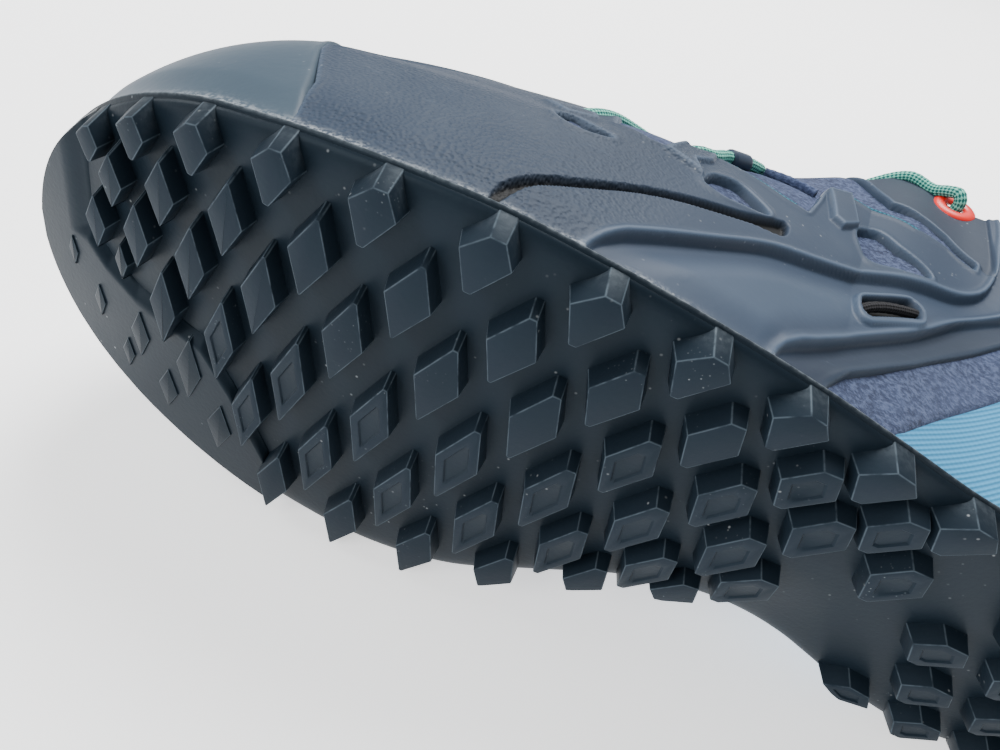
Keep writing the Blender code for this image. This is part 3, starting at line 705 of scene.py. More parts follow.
def inside_by(outline, f, h):
    """Distance inside a closed outline; negative outside."""
    nearest = np.full(f.shape, 1e9)
    crossings = np.zeros(f.shape, bool)
    for start, end in zip(outline, np.roll(outline, -1, 0)):
        nearest = np.minimum(nearest, from_segment(start, end, f, h))
        (ax, ay), (bx, by) = start, end
        if ay != by:
            crossings ^= ((ay > h) != (by > h)) & (f < ax + (h - ay) / (by - ay) * (bx - ax))
    return np.where(crossings, nearest, -nearest)


def above(ridge_line, f, h):
    """Distance above a ridge that runs from the sole to the top line, towards the toe; negative below it."""
    line = open_curve(flat_spots(ridge_line), 60)
    return inside_by(np.concatenate([line, [(270.0, 110.0), (270.0, -6.0)]]), f, h)


def ridge(distance, centre, width):
    return np.exp(-((distance - centre) / width) ** 2)


def covered(f, h):
    """Distance inside the moulded overlay's outline and outside its windows."""
    body = inside_by(flat_spots(MOULDING), f, h)
    for window in WINDOWS:
        body = np.minimum(body, -inside_by(rounded(window), f, h))
    return body


def moulding_relief(f, h):
    """Height of the moulded overlay over the skin; its painted shade in the cut-outs, under the lower ridge
    and on the strap; and its lighter crests, from wear and a painted highlight, with a painted reflection in
    the hollow.
    """
    body = covered(f, h)
    upper, lower = above(UPPER_RIDGE, f, h), above(LOWER_RIDGE, f, h)
    level = 1.9 + 0.8 * ridge(upper, 0.9, 1.0)
    # Crests of the ridges and the overlay's edge: wear, and painted lighter as a highlight.
    crest = np.maximum(ridge(upper, 0.8, 0.7), ridge(lower, 0.7, 0.7)) * smooth(0.5, 1.5, body)
    crest = np.maximum(crest, 0.7 * ridge(body, 0.5, 0.5))
    # Painted reflection: the lower part of the hollow under the upper ridge is lighter.
    crest = np.maximum(crest, 0.55 * smooth(-2.0, -9.0, upper) * smooth(2.0, 8.0, lower))
    hollow = 0.25 + 2.0 * smooth(-0.5, -9.0, upper)
    level = hollow + (level - hollow) * smooth(-0.45, 0.35, upper)
    level = level + 0.9 * ridge(lower, 0.8, 1.0) * smooth(0.0, 0.4, lower)
    skirt = 0.3 + 1.1 * smooth(-0.5, -5.0, lower)
    level = skirt + (level - skirt) * smooth(-0.45, 0.35, lower)
    level = level + 0.30 * ridge(body, 1.1, 0.7)
    strap = smooth(-0.5, 0.5, inside_by(flat_spots(STRAP), f, h))
    level = level - 0.8 * strap * smooth(1.0, 3.0, body)
    level = level + (0.35 - level) * smooth(8.5, 7.0, np.hypot(f - EYELET.foot, h - EYELET.v * 100.0))
    level = level - 1.1 * smooth(198.0, 206.0, f) * smooth(24.0, 34.0, h)
    for boss in BOSSES:
        inside = inside_by(flat_spots(boss.spots), f, h)
        level = level + boss.rise * smooth(-0.7, 0.5, inside)
        # The boss's edge: wear and a painted highlight.
        crest = np.maximum(crest, ridge(inside, 0.5, 0.5))
    level = level + (0.1 - level) * smooth(1.9, 1.5, from_segment(*flat_spots(LACE_CHANNEL), f, h))
    slot = from_segment(*flat_spots(SLOT_ENDS), f, h)
    level = level + 1.2 * smooth(SLOT_RIM + 0.35, SLOT_RIM - 0.35, slot)
    hole = smooth(SLOT_HOLE + 0.3, SLOT_HOLE - 0.3, slot)
    groove = smooth(-0.25, 0.35, inside_by(rounded(RAND_GROOVE, 4), f, h))
    # The slot hole and the rand groove are sunk, and painted near black as their shade.
    cut = np.maximum(hole, groove)
    level = level + (0.15 - level) * cut
    # Painted shade under the lower ridge and on the sunk strap, joined to the cut-outs' painted shade.
    shaded = np.maximum(0.35 * smooth(-0.3, -1.5, lower), 0.30 * strap * smooth(1.0, 2.5, body))
    cut = np.maximum(cut, shaded)
    # The slot's rim: wear and a painted highlight.
    crest = np.maximum(crest, ridge(slot, SLOT_RIM - 0.5, 0.5))
    lift = SUNK + (level - SUNK) * smooth(-0.4, 0.4, body)
    return lift, cut, crest


def drawn_in(lift, v):
    """An overlay thins towards the sole, so that it ends flush with the sole's lip."""
    return lift * (0.42 + 0.58 * smooth(0.0, 0.045, v))


def tucked(points, v):
    """The lowest millimetre of an overlay, drawn down onto the sole."""
    points[:, 2] -= 0.9 * smooth(0.012, 0.0, v)
    return points


def drop_buried(bm):
    """Take away an overlay's faces that lie wholly under the skin."""
    lift = bm.verts.layers.float["lift"]
    buried = [face for face in bm.faces if all(v[lift] < BURIED for v in face.verts)]
    bmesh.ops.delete(bm, geom=buried, context="FACES")
    face_outwards(bm)


def build_moulding(film):
    """Side rand, cage and eyestay as one moulded overlay on the lateral side."""
    first, last = 79.0, 252.0

    def spot(s, t):
        return first + (last - first) * s, 0.75 * t + 0.25 * t ** 3

    def place(s, t):
        f, v = spot(s, t)
        lift = moulding_relief(f, v * 100.0)[0]
        return tucked(FOOT.skin(FOOT.place(1, f), v, drawn_in(lift, v)), v)

    def marks(s, t):
        f, v = spot(s, t)
        lift, cut, crest = moulding_relief(f, v * 100.0)
        over = above(UPPER_RIDGE, f, v * 100.0)
        grain = smooth(172, 196, f) * smooth(0.0, 3.0, over) * smooth(0.5, 0.42, v)
        # dark carries the painted shade; the crests' mark carries wear and a painted highlight.
        return {"dark": cut, "crest": crest, "grain": grain, "low": smooth(0.008, 0.002, v), "lift": lift}

    bm = mapped_grid(470, 250, place, (last - first, 100.0), marks)
    drop_buried(bm)
    add_piece("moulded_cage", bm, [film], ("cage", "side_rand", "eyestay"))


def build_toe_cap(rubber):
    """The smooth cap, running on round the toe to the medial side."""
    start = FOOT.place(1, CAP_EDGE[0].foot)
    keys = [FOOT.place(1, spot.foot) for spot in CAP_EDGE]
    tops = [spot.v for spot in CAP_EDGE]
    middle = Foot.COUNT / 2

    def spot(s, t):
        u = start + (Foot.COUNT - 2 * start) * s
        return u, 0.78 * t

    def lift_at(u, v):
        top = np.interp(middle - np.abs(middle - u), keys, tops)
        slope = np.gradient(tops, keys)
        slant = np.interp(middle - np.abs(middle - u), keys, slope) * 100.0
        inside = (top - v) * 100.0 / np.hypot(1.0, slant)
        thick = 1.9 - 0.9 * smooth(0.25, 0.55, v) + 0.25 * ridge(inside, 1.4, 1.0)
        return SUNK + (thick - SUNK) * smooth(-0.6, 0.6, inside)

    def place(s, t):
        u, v = spot(s, t)
        return tucked(FOOT.skin(u, v, drawn_in(lift_at(u, v), v)), v)

    def marks(s, t):
        u, v = spot(s, t)
        return {"low": smooth(0.008, 0.002, v), "lift": lift_at(u, v)}

    bm = mapped_grid(240, 110, place, (180.0, 80.0), marks)
    drop_buried(bm)
    add_piece("toe_cap_rubber", bm, [rubber], ("toe_cap",))


def creases(u, v):
    """Soft troughs across the vamp, where the forefoot bends, and a slack fold at each quarter."""
    foot = FOOT.along(u)
    side = np.where(u < Foot.COUNT / 2, 1.0, -1.0)
    flex = ridge(foot, 229 - 14 * v, 4.0) * 0.55 + ridge(foot, 214 - 10 * v, 3.2) * 0.4
    flex = flex * smooth(0.42, 0.62, v)
    slack = ridge(foot, 98 + 26 * v, 6.0) * 0.5 * smooth(0.3, 0.5, v) * smooth(0.95, 0.8, v)
    return -(flex + slack * (0.6 - 0.4 * side))


def throat_pad(u, v):
    """The padding that plumps up the lateral edge of the throat."""
    foot = FOOT.along(u)
    along = smooth(138, 152, foot) * smooth(192, 176, foot) * (u < Foot.COUNT / 2)
    return 2.4 * along * smooth(0.68, 0.95, v)


def build_upper(suede_skin, textile, lining):
    """Suede forefoot and ribbed textile heel as one skin, with the lining behind it."""
    columns, rows = 360, 60

    def outer(s, t):
        u = s * Foot.COUNT
        return tucked(FOOT.skin(u, t, creases(u, t) + throat_pad(u, t)), t)

    def inner(s, t):
        return FOOT.skin(s * Foot.COUNT, t, -WALL)

    bm = mapped_grid(columns, rows, outer, (UPPER_RUN, 100.0))
    weld(bm)
    face_outwards(bm)
    uv = bm.loops.layers.uv["surface"]
    for face in bm.faces:
        along = np.mean([loop[uv].uv.x for loop in face.loops]) / UPPER_RUN * Foot.COUNT
        face.material_index = 1 if FOOT.along(np.array([along]))[0] < TEXTILE_END else 0
    add_piece("upper_skin", bm, [suede_skin, textile], ("upper",))
    bm = mapped_grid(columns // 2, rows // 2, inner, (UPPER_RUN, 100.0))
    weld(bm)
    face_outwards(bm)
    turn_over(bm)
    add_piece("lining", bm, [lining])


def tube_grid(path, radius, sides=14, ripple=0.0):
    """A round cord swept along a path; its surface runs round (0 to 1) and along, in millimetres."""
    steps = len(path)
    line = spread(np.asarray(path, float), steps)
    ahead = np.gradient(line, axis=0)
    ahead = ahead / np.linalg.norm(ahead, axis=1)[:, None]
    side = np.zeros_like(line)
    side[0] = np.cross(ahead[0], (0.31, 0.52, 0.79))
    for i in range(1, steps):
        side[i] = side[i - 1] - ahead[i] * side[i - 1].dot(ahead[i])
        side[i] /= np.linalg.norm(side[i])
    side[0] /= np.linalg.norm(side[0])
    other = np.cross(ahead, side)
    length = distances(line)[-1]

    def place(s, t):
        i = np.clip(np.rint(t * (steps - 1)).astype(int), 0, steps - 1)
        angle = s * 2 * pi
        twist = t * length * 1.5
        swell = radius * (1.0 + ripple * np.sin(3 * angle + twist) * np.sin(3 * angle - twist))
        out = side[i] * np.cos(angle)[:, None] + other[i] * np.sin(angle)[:, None]
        return line[i] + out * swell[:, None]

    bm = mapped_grid(sides, steps - 1, place, (1.0, length))
    weld(bm, 0.001)
    rims = [e for e in bm.edges if e.is_boundary]
    bmesh.ops.edgeloop_fill(bm, edges=rims)
    even_normals(bm)
    return bm


def build_binding(lining):
    """The bound edge of the collar and throat, over both walls."""
    u = np.linspace(0.0, Foot.COUNT, 361)
    line = FOOT.skin(u, np.ones(361), throat_pad(u, np.ones(361)) - WALL / 2)
    bm = tube_grid(line, 1.45, 12)
    add_piece("edge_binding", bm, [lining])


def build_suede_quarters(suede_skin):
    """Suede panels over the front of the textile quarters, with a cut edge, on both sides."""
    feet = np.array([spot.foot for spot in SUEDE_EDGE])[::-1]
    lows = np.array([spot.v for spot in SUEDE_EDGE])[::-1]
    for name, side in (("suede_quarter_lateral", 1), ("suede_quarter_medial", -1)):
        def spot(s, t):
            f = SUEDE_START + SUEDE_RUN * s
            low = np.interp(f, feet, lows)
            return f, low, low + (0.995 - low) * t

        def place(s, t):
            f, low, v = spot(s, t)
            edge = np.minimum((v - low) * 100.0, (f - SUEDE_START) * 1.2 + 0.2)
            lift = -0.4 + 1.05 * smooth(-0.1, 0.9, edge) - 0.7 * smooth(120, 128, f)
            if side > 0:
                lift = lift - 0.6 * smooth(0.4, 1.6, covered(f, v * 100.0))
            return tucked(FOOT.skin(FOOT.place(side, f), np.clip(v, 0.0, 1.0), lift), v)

        bm = mapped_grid(120, 90, place, (SUEDE_RUN, 70.0))
        face_outwards(bm)
        add_piece(name, bm, [suede_skin])


TongueRow = namedtuple("TongueRow", "x z lateral medial")
TONGUE_TIP = (TongueRow(76.0, 131.0, 34.0, -35.0), TongueRow(86.0, 125.0, 37.0, -38.0))
TONGUE_TOE = TongueRow(203.0, 78.0, 5.0, -18.0)


def build_tongue(cloth):
    """The padded tongue, standing a little above the top eyelets."""
    rows = [row for row in TOP_LINE if row.foot >= 125]
    edge = [TongueRow(r.x, r.z, r.lateral, r.medial) for r in rows[:-1]]
    line = open_curve([*TONGUE_TIP, *edge, TONGUE_TOE], 60)

    def place(s, t):
        x, z, lateral, medial = (np.interp(s, np.linspace(0, 1, 60), column) for column in line.T)
        lateral = lateral + 5.0 * smooth(120, 150, x) - 4.0 * (1.0 - smooth(100, 125, x))
        medial = medial - 4.0 * smooth(150, 175, x) + 9.0 * (1.0 - smooth(125, 155, x))
        across = 2.0 * t - 1.0
        rim = smooth(0.0, 0.06, s) * smooth(1.0, 0.86, np.abs(across))
        y = (lateral + medial) / 2 + (lateral - medial) / 2 * across
        sag = 4.5 * across ** 2 + 2.5 * across ** 4 * smooth(95, 110, x)
        quilt = 0.5 * np.sin(x / 14.0 * pi) ** 2
        return np.column_stack([x, y, z - WALL - 2.3 - sag + 1.2 * rim - quilt * rim])

    bm = mapped_grid(90, 46, place, (150.0, 70.0))
    face_outwards(bm)
    tongue = add_piece("tongue_pad", bm, [cloth], ("tongue",))
    wall = tongue.modifiers.new("pad", "SOLIDIFY")
    wall.thickness = 2.6 * MM
    wall.offset = -1.0


def edge_limits(x):
    places = FOOT.sides
    lateral = np.interp(x, FOOT.line[places[1], 0], FOOT.line[places[1], 1])
    medial = np.interp(x, FOOT.line[places[-1], 0], FOOT.line[places[-1], 1])
    return lateral, medial


def lug_column(step):
    """Place of a forefoot lug column along the foot; columns close up towards the toe."""
    forward = min(step, 0.0)
    return 218.0 - PITCH * step - 1.2 * forward ** 2


def lug_sites():
    """Centre, half width, half length, slant and tip cut of every lug."""
    keys, factors = zip(*ROW_SCALE)
    places, *columns = zip(*LUG_SIZES)
    for row in FORE_LUGS:
        for step in np.arange(row.first, row.last + 0.1, 1.0):
            x = lug_column(step)
            lateral, medial = edge_limits(x)
            y = lateral - max(row.offset * np.interp(x, keys, factors), LUG_ROOM)
            wide, share, slant, blunt = (np.interp(x, places, column) for column in columns)
            edge = row is FORE_LUGS[0]
            if edge:
                blunt = max(blunt, EDGE_BLUNT)
            long = row.half_length * share
            yield Site(x, max(y, medial + LUG_ROOM), wide, long, slant, blunt, edge, step >= row.marked_from)
    for row in HEEL_LUGS:
        for step in np.arange(row.first, row.last + 0.1, 1.0):
            x = HEEL_COLUMN - HEEL_PITCH * step
            lateral, medial = edge_limits(x)
            y, edge = lateral - row.offset, row is HEEL_LUGS[0]
            if y > medial + HEEL_ROOM:
                yield Site(x, y, 5.8, row.half_length, 1.6, 0.42, edge, True)


def lug_outline(site, grow, inset):
    """Slanted rhombus across the foot with its tips cut, kept inside the sole's edge."""
    wide, long = site.wide + grow, site.long + grow * 1.6
    blunt, low_cut = site.blunt, site.blunt * 0.5
    corners = (
        (low_cut * wide, low_cut - 1.0), (wide, 0.0), (blunt * wide, 1.0 - blunt),
        (-blunt * wide, 1.0 - blunt), (-wide, 0.0), (-low_cut * wide, low_cut - 1.0),
    )
    outline = []
    for dx, share in corners:
        x = site.x + dx - site.slant * share
        lateral, medial = edge_limits(x)
        outline.append((x, float(np.clip(site.y + share * long, medial + inset, lateral - inset))))
    return np.array(outline)


def add_lug(bm, site, height, bevel):
    """One lug: its root is drawn out to the face; some faces carry a sunk mark, and the rims are marked for
    wear and a painted highlight.
    """
    face = lug_outline(site, 0.0, FACE_INSET)
    root = lug_outline(site, LUG_DRAFT, ROOT_INSET)
    x, y = site.x, site.y
    slope = [bottom(x + 0.5, y) - bottom(x - 0.5, y), bottom(x, y + 0.5) - bottom(x, y - 0.5)]
    flat = bottom(x, y) + (face - (x, y)) @ np.array(slope)
    low = np.column_stack([face, flat - height])
    sunk = bottom(*root.T) + ROOT_DEPTH
    if site.edge:
        for k in (2, 3):
            root[k, 1] = edge_limits(root[k, 0])[0] - 0.55
            sunk[k] = bottom(*root[k]) + 0.82 * side_height(root[k, 0])
    rim_scuff_and_highlight = bm.verts.layers.float.new("rim_scuff_and_highlight")
    verts = [bm.verts.new(p) for p in np.column_stack([root, sunk])]
    start = bm.faces.new(verts)
    drawn = bmesh.ops.extrude_face_region(bm, geom=[start])["geom"]
    tip = [v for v in drawn if isinstance(v, bmesh.types.BMVert)]
    for vert in tip:
        nearest = min(range(6), key=lambda k: (vert.co - Vector((*root[k], sunk[k]))).length)
        vert.co = low[nearest]
    top = next(f for f in drawn if isinstance(f, bmesh.types.BMFace))
    if start.is_valid:
        bm.faces.remove(start)
    walls = dict.fromkeys(e for v in tip for e in v.link_edges)
    if site.marked:
        shrink_face(bm, top, 0.58, 0.0)
        shrink_face(bm, top, 0.86, 0.4)
    shaped = bmesh.ops.bevel(
        bm, geom=list(walls), offset=bevel, affect="EDGES", segments=2, profile=0.5, material=-1,
    )
    rims = set(shaped["faces"])
    for vert in shaped["verts"]:
        vert[rim_scuff_and_highlight] = float(all(f in rims for f in vert.link_faces))


def shrink_face(bm, face, share, sunk):
    """A smaller copy of a lug's face inside it, sunk by some depth."""
    bmesh.ops.inset_individual(bm, faces=[face], thickness=0.01, depth=0.0)
    centre = face.calc_center_median()
    for vert in face.verts:
        vert.co = centre + (vert.co - centre) * share + Vector((0.0, 0.0, sunk))


EDGE_BAND = 12.0
SpineSpot = namedtuple("SpineSpot", "x y")
SPINE = (SpineSpot(32, -1), SpineSpot(118, 7), SpineSpot(210, -2), SpineSpot(262, -8))


def sole_point(u, inset, height):
    """A place on the base sheet: moved inwards from the outline, and up from the base."""
    plan = FOOT.pick(FOOT.line, u) + FOOT.pick(FOOT.inner, u) * np.minimum(inset, EDGE_BAND)[:, None]
    along = np.clip(plan[:, 0], SPINE[0].x, SPINE[-1].x)
    spine = np.column_stack([along, np.interp(along, *zip(*SPINE))])
    plan = plan + (spine - plan) * (np.maximum(inset - EDGE_BAND, 0.0) / 100.0)[:, None]
    return np.column_stack([plan, bottom(plan[:, 0], plan[:, 1]) + height])


SideStep = namedtuple("SideStep", "inset share lift")
SOLE_PROFILE = (
    SideStep(112, 0, 0), SideStep(90, 0, 0), SideStep(70, 0, 0), SideStep(50, 0, 0), SideStep(30, 0, 0),
    SideStep(12, 0, 0), SideStep(7.5, 0, 0.05), SideStep(5.0, 0, 0.2), SideStep(3.2, 0, 0.45),
    SideStep(1.9, 0, 0.8), SideStep(1.15, 0, 1.2), SideStep(0.85, 0.30, 0.7), SideStep(0.8, 0.55, 0.2),
    SideStep(0.5, 0.60, 0.15), SideStep(0.15, 0.68, 0.1), SideStep(0.0, 0.79, 0), SideStep(0.15, 0.91, 0),
    SideStep(0.5, 0.98, 0), SideStep(1.0, 1, 0), SideStep(4, 1, 0), SideStep(12, 1, 0), SideStep(60, 1, 0),
    SideStep(112, 1, 0),
)


def sole_base():
    """The base sheet with its edge, from the middle of the tread round to the inside."""
    count = len(SOLE_PROFILE) - 1
    steps = np.arange(count + 1)
    inset, share, lift = (np.array(column, float) for column in zip(*SOLE_PROFILE))

    def place(s, t):
        u = s * Foot.COUNT
        row = t * count
        rise = side_height(FOOT.along(u))
        height = np.interp(row, steps, share) * rise + np.interp(row, steps, lift)
        return sole_point(u, np.interp(row, steps, inset), height)

    bm = mapped_grid(480, count, place)
    weld(bm)
    even_normals(bm)
    return bm


def climbing_zone():
    """The smooth raised zone along the medial edge of the toe."""
    margin = 0.12

    def place(s, t):
        x = PLATFORM_START + (PLATFORM_END - PLATFORM_START) * s
        lateral, medial = edge_limits(x)
        lateral, medial = lateral - margin, medial + margin
        ledge = np.maximum(np.interp(x, *zip(*PLATFORM)), medial + 0.5)
        inner = ledge + (lateral - ledge) * smooth(258.0, 279.0, x)
        y = inner + (medial - inner) * (0.5 - 0.5 * np.cos(pi * t))
        ramp = np.maximum(smooth(0.0, 4.2, ledge - y), smooth(279.5, 286.5, x))
        ramp = ramp * smooth(0.0, 3.0, x - PLATFORM_START)
        edge = smooth(0.0, 0.9, y - medial) * smooth(0.0, 0.9, lateral - y)
        height = PLATFORM_HEIGHT * ramp * edge
        tuck = 0.5 * smooth(0.10, 0.0, ramp) + 1.9 * smooth(0.55, 0.0, edge)
        return np.column_stack([x, y, bottom(x, y) + tuck - height])

    bm = mapped_grid(150, 130, place)
    bm.normal_update()
    if sum(f.normal.z * f.calc_area() for f in bm.faces) > 0:
        turn_over(bm)
    return bm


def build_sole(rubber):
    """The outsole: base sheet, climbing zone and lugs."""
    bm = bmesh.new()
    lugs = [(site, LUG_HEIGHT, LUG_BEVEL) for site in lug_sites()]
    lugs.append((TOE_LUG, TOE_LUG_HEIGHT, LUG_BEVEL))
    for s in CLIMBING_STAMPS:
        site = Site(s.x, s.y, s.wide, s.long, 0.0, STAMP_BLUNT, False, False)
        lugs.append((site, PLATFORM_HEIGHT + STAMP_RISE, STAMP_BEVEL))
    for site, height, bevel in lugs:
        lug = bmesh.new()
        add_lug(lug, site, height, bevel)
        even_normals(lug)
        lowest = min(lug.faces, key=lambda f: f.calc_center_median().z)
        if lowest.normal.z > 0:
            turn_over(lug)
        absorb(bm, lug)
    lug_points = len(bm.verts)
    absorb(bm, sole_base())
    absorb(bm, climbing_zone())
    worn_and_lit, lip = bm.verts.layers.float.new("worn_and_lit"), bm.verts.layers.float.new("lip")
    places = np.array([v.co for v in bm.verts])
    depth = bottom(places[:, 0], places[:, 1]) - places[:, 2]
    rise = side_height(places[:, 0])
    on_base = np.arange(len(places)) >= lug_points
    for vert, d, r, plain in zip(bm.verts, depth, rise, on_base):
        # Lug faces: wear on the rubber, and painted lighter as a highlight.
        vert[worn_and_lit] = float(smooth(3.9, 4.4, d))
        # The sole's lip: dust and a painted highlight, weaker where lugs reach it.
        vert[lip] = float(smooth(1.0 - r, 0.6 - r, d) * (0.25 + 0.75 * plain))
    add_piece("sole", bm, [rubber], ("outsole",), sharp_deg=SOLE_SHARP_DEG)


Rim = namedtuple("Rim", "radius rise")
GROMMET_SECTION = (
    Rim(2.6, 0.0), Rim(2.5, 0.8), Rim(2.9, 1.3), Rim(3.8, 1.55), Rim(5.0, 1.4), Rim(5.8, 0.9), Rim(6.0, 0.3),
    Rim(5.7, 0.0),
)


def washer(name, side, lift, finish, stands_for):
    """A round grommet turned about the upper's own direction at the top eyelet."""
    u = np.array([FOOT.place(side, EYELET.foot)])
    height = np.array([EYELET.v])
    centre = Vector(FOOT.skin(u, height, np.array([lift]))[0])
    out = Vector(FOOT.normal(u, height)[0])
    across = out.orthogonal().normalized()
    bm = bmesh.new()
    verts = [bm.verts.new(centre + across * r + out * z) for r, z in GROMMET_SECTION]
    edges = [bm.edges.new(pair) for pair in zip(verts, verts[1:] + verts[:1])]
    bmesh.ops.spin(bm, geom=verts + edges, cent=centre, axis=out, angle=2 * pi, steps=48, use_merge=True)
    weld(bm, 0.001)
    even_normals(bm)
    add_piece(name, bm, [finish], (stands_for,))


def on_skin(side, foot, v, lift):
    return FOOT.skin([FOOT.place(side, foot)], [v], [lift])[0]


def over_throat(foot, side, lift, inward=2.0):
    """A place by the throat's edge: above it and towards the other side."""
    edge = FOOT.point(np.array([FOOT.place(side, foot)]), np.array([1.0]))[0]
    return edge + np.array((0.0, -inward * side, lift))


LaceSpot = namedtuple("LaceSpot", "foot v lift")
LaceBar = namedtuple("LaceBar", "foot rise inward start")
LACE_BARS = (
    LaceBar(205, -0.5, 2.5, (
        LaceSpot(209, 0.365, -0.9), LaceSpot(208, 0.42, 0.1), LaceSpot(207, 0.60, -0.3),
        LaceSpot(206, 0.80, -0.2),
    )),
    LaceBar(185, 1.4, 2.0, (
        LaceSpot(192.5, 0.40, -0.6), LaceSpot(190, 0.437, 1.5), LaceSpot(188, 0.462, 1.5),
        LaceSpot(187, 0.55, 1.5), LaceSpot(181, 0.66, 1.3), LaceSpot(180, 0.80, 0.8),
    )),
    LaceBar(165, -0.8, 4.0, (LaceSpot(166, 0.95, -2.6),)),
    LaceBar(145, -0.8, 4.0, (LaceSpot(146, 0.95, -2.6),)),
)
LACE_KEEPER = (LaceSpot(186.2, 0.565, 1.45), LaceSpot(184.8, 0.590, 1.42), LaceSpot(183.2, 0.620, 1.38))
SLOT_CORD = (
    LaceSpot(137, 0.166, 0.9), LaceSpot(133.5, 0.186, 1.9), LaceSpot(122.5, 0.228, 1.9),
    LaceSpot(119, 0.248, 0.9),
)
LACE_RADIUS = 1.6
CABLE_RADIUS = 0.55
KEEPER_RADIUS = 2.3
PIPING_RADIUS = 1.25
CORD_RADIUS = 1.15


def lace_paths():
    """The lace's crossings, from the lateral fingers to the medial edge, and its two top ends."""
    for bar in LACE_BARS:
        flank = [on_skin(1, *spot) for spot in bar.start]
        left, right = over_throat(bar.foot, 1, bar.rise, bar.inward), over_throat(bar.foot, -1, 2.4)
        crown = (left + right) / 2 + np.array((0.0, 0.0, 3.0))
        yield flank + [left, crown, right, on_skin(-1, bar.foot, 0.97, 0.2)]
    away, near = over_throat(150, -1, 3.4), over_throat(136, 1, 3.4)
    yield [
        away, (away + near) / 2 + np.array((0.0, 0.0, 5.0)), near, on_skin(1, 126, 0.955, 1.9),
        on_skin(1, 116, 0.925, 1.9), on_skin(1, 112, 0.975, 3.6), on_skin(1, 108, 0.975, 4.6),
        on_skin(1, 106.5, 0.94, 3.0), on_skin(1, *EYELET, -0.8),
    ]
    away, near = over_throat(147, 1, 4.4), over_throat(134, -1, 3.0)
    yield [
        away, (away + near) / 2 + np.array((0.0, 0.0, 5.4)), near, over_throat(118, -1, 1.6),
        over_throat(111, -1, -3.0), on_skin(-1, 107.5, 0.93, -2.4), on_skin(-1, *EYELET, 0.6),
    ]


def skin_cord(spots, count, radius, sides, ripple=0.0):
    """A cord through places on the lateral side."""
    return tube_grid(open_curve([on_skin(1, *spot) for spot in spots], count), radius, sides, ripple)


def raised(spots, lift):
    return [LaceSpot(spot.foot, spot.v, lift) for spot in spots]


def build_laces(lace, cable, cord, film, suede_skin):
    strands = [tube_grid(open_curve(path, 160), LACE_RADIUS, 18, 0.05) for path in lace_paths()]
    add_piece("braided_lace", joined(strands), [lace], ("lace",))
    lines = [skin_cord(raised(spots, 1.3), 40, CABLE_RADIUS, 10) for spots in FINGER_CABLES]
    add_piece("finger_cables", joined(lines), [cable])
    add_piece("lace_keeper", skin_cord(LACE_KEEPER, 12, KEEPER_RADIUS, 18), [film])
    piping = skin_cord(raised(THROAT_PIPING, 0.8), 60, PIPING_RADIUS, 14, 0.08)
    add_piece("throat_piping", piping, [suede_skin])
    braided = skin_cord(SLOT_CORD, 60, CORD_RADIUS, 14, 0.06)
    add_piece("slot_braid", braided, [cord], ("slot_cord",))


def build_camera():
    turn = PLACE.to_3x3().normalized()
    right = (turn @ Vector(CAMERA_RIGHT)).normalized()
    up = (turn @ -Vector(CAMERA_DOWN)).normalized()
    back = right.cross(up)
    camera = bpy.data.cameras.new("photo_camera")
    camera.lens = CAMERA_LENS
    camera.sensor_width = 36.0
    camera.clip_start = 0.01
    view = new_object("photo_camera", camera)
    turned = Matrix((right, up, back)).transposed().to_4x4()
    view.matrix_world = Matrix.Translation(PLACE @ Vector(CAMERA_PLACE)) @ turned
    bpy.context.scene.camera = view


Lamp = namedtuple("Lamp", "name place aim size power")
LAMPS = (
    Lamp("overhead", (0.10, 0.62, 1.05), (0.0, 0.0, 0.05), 0.8, 30.0),
    Lamp("front", (-0.85, -0.80, 0.80), (0.0, -0.05, 0.05), 0.7, 11.0),
    Lamp("toe_side", (-1.1, 0.15, 0.7), (-0.05, 0.0, 0.05), 0.6, 7.0),
)


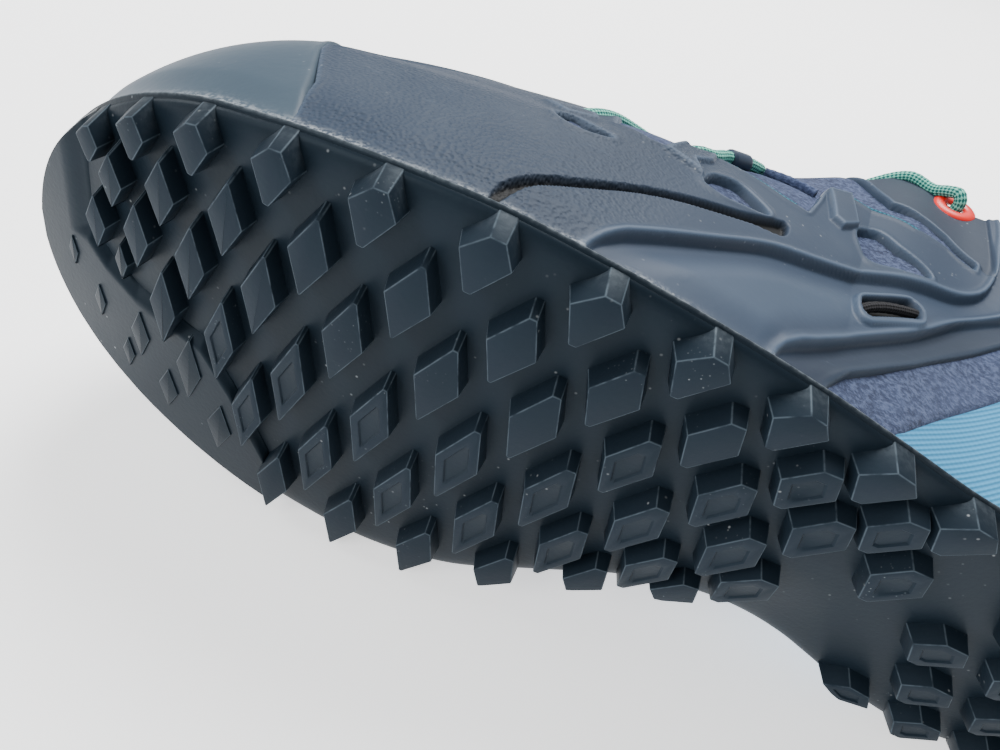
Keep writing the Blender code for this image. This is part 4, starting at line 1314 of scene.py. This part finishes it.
def build_stage():
    """A plain pale floor and soft studio light."""
    bm = bmesh.new()
    bmesh.ops.create_grid(bm, x_segments=1, y_segments=1, size=2.5)
    mesh = bpy.data.meshes.new("floor")
    bm.to_mesh(mesh)
    bm.free()
    mesh.materials.append(plain_floor())
    floor = new_object("floor", mesh)
    for lamp in LAMPS:
        light = bpy.data.lights.new(lamp.name, "AREA")
        light.shape = "DISK"
        light.size = lamp.size
        light.energy = lamp.power
        obj = new_object(lamp.name, light)
        obj.location = lamp.place
        obj.rotation_euler = (Vector(lamp.aim) - Vector(lamp.place)).to_track_quat("-Z", "Y").to_euler()
    world = bpy.data.worlds.new("studio")
    world.use_nodes = True
    sky = world.node_tree.nodes["Background"]
    sky.inputs["Color"].default_value = (0.96, 0.98, 1.0, 1.0)
    sky.inputs["Strength"].default_value = 0.5
    bpy.context.scene.world = world


def plain_bed():
    """The sock liner's cloth."""
    f = Finish("bed_cloth", Roughness=0.9, Specular_IOR_Level=0.2)
    weave = f.noise(600.0, 3.0)
    return f.finished(f.mix(weave, srgb(70, 74, 80), srgb(98, 102, 108)), weave, 0.2)


def build_shoe(nodes):
    suede_skin, film = suede(), moulded_film()
    lining = knit("lining_knit", srgb(34, 37, 44), srgb(60, 64, 72))
    build_sole(sole_rubber())
    build_upper(suede_skin, ribbed_textile(), lining)
    build_binding(lining)
    build_suede_quarters(suede_skin)
    build_moulding(film)
    build_toe_cap(cap_rubber())
    build_tongue(knit("tongue_cloth", srgb(38, 42, 66), srgb(66, 72, 100)))
    build_laces(
        braid("lace_braid", srgb(18, 92, 88), srgb(120, 196, 176)),
        braid("finger_cable", srgb(20, 70, 88), srgb(44, 120, 140)),
        braid("cord_braid", srgb(10, 10, 12), srgb(36, 36, 40), 5.0, 3.0),
        film, suede_skin,
    )
    red = red_plastic()
    washer("grommet_lateral", 1, 0.45, red, "eyelet_lateral")
    washer("grommet_medial", -1, 1.3, red, "eyelet_medial")
    bed = nodes["insole"]
    bed.data.materials.clear()
    bed.data.materials.append(plain_bed())


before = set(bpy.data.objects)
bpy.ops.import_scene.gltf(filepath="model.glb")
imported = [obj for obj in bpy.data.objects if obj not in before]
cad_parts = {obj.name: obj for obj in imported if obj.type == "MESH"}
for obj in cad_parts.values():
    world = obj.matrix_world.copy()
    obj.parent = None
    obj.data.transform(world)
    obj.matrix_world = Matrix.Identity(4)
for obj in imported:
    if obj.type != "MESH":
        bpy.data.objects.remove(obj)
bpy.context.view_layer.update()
build_camera()
build_stage()
build_shoe(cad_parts)
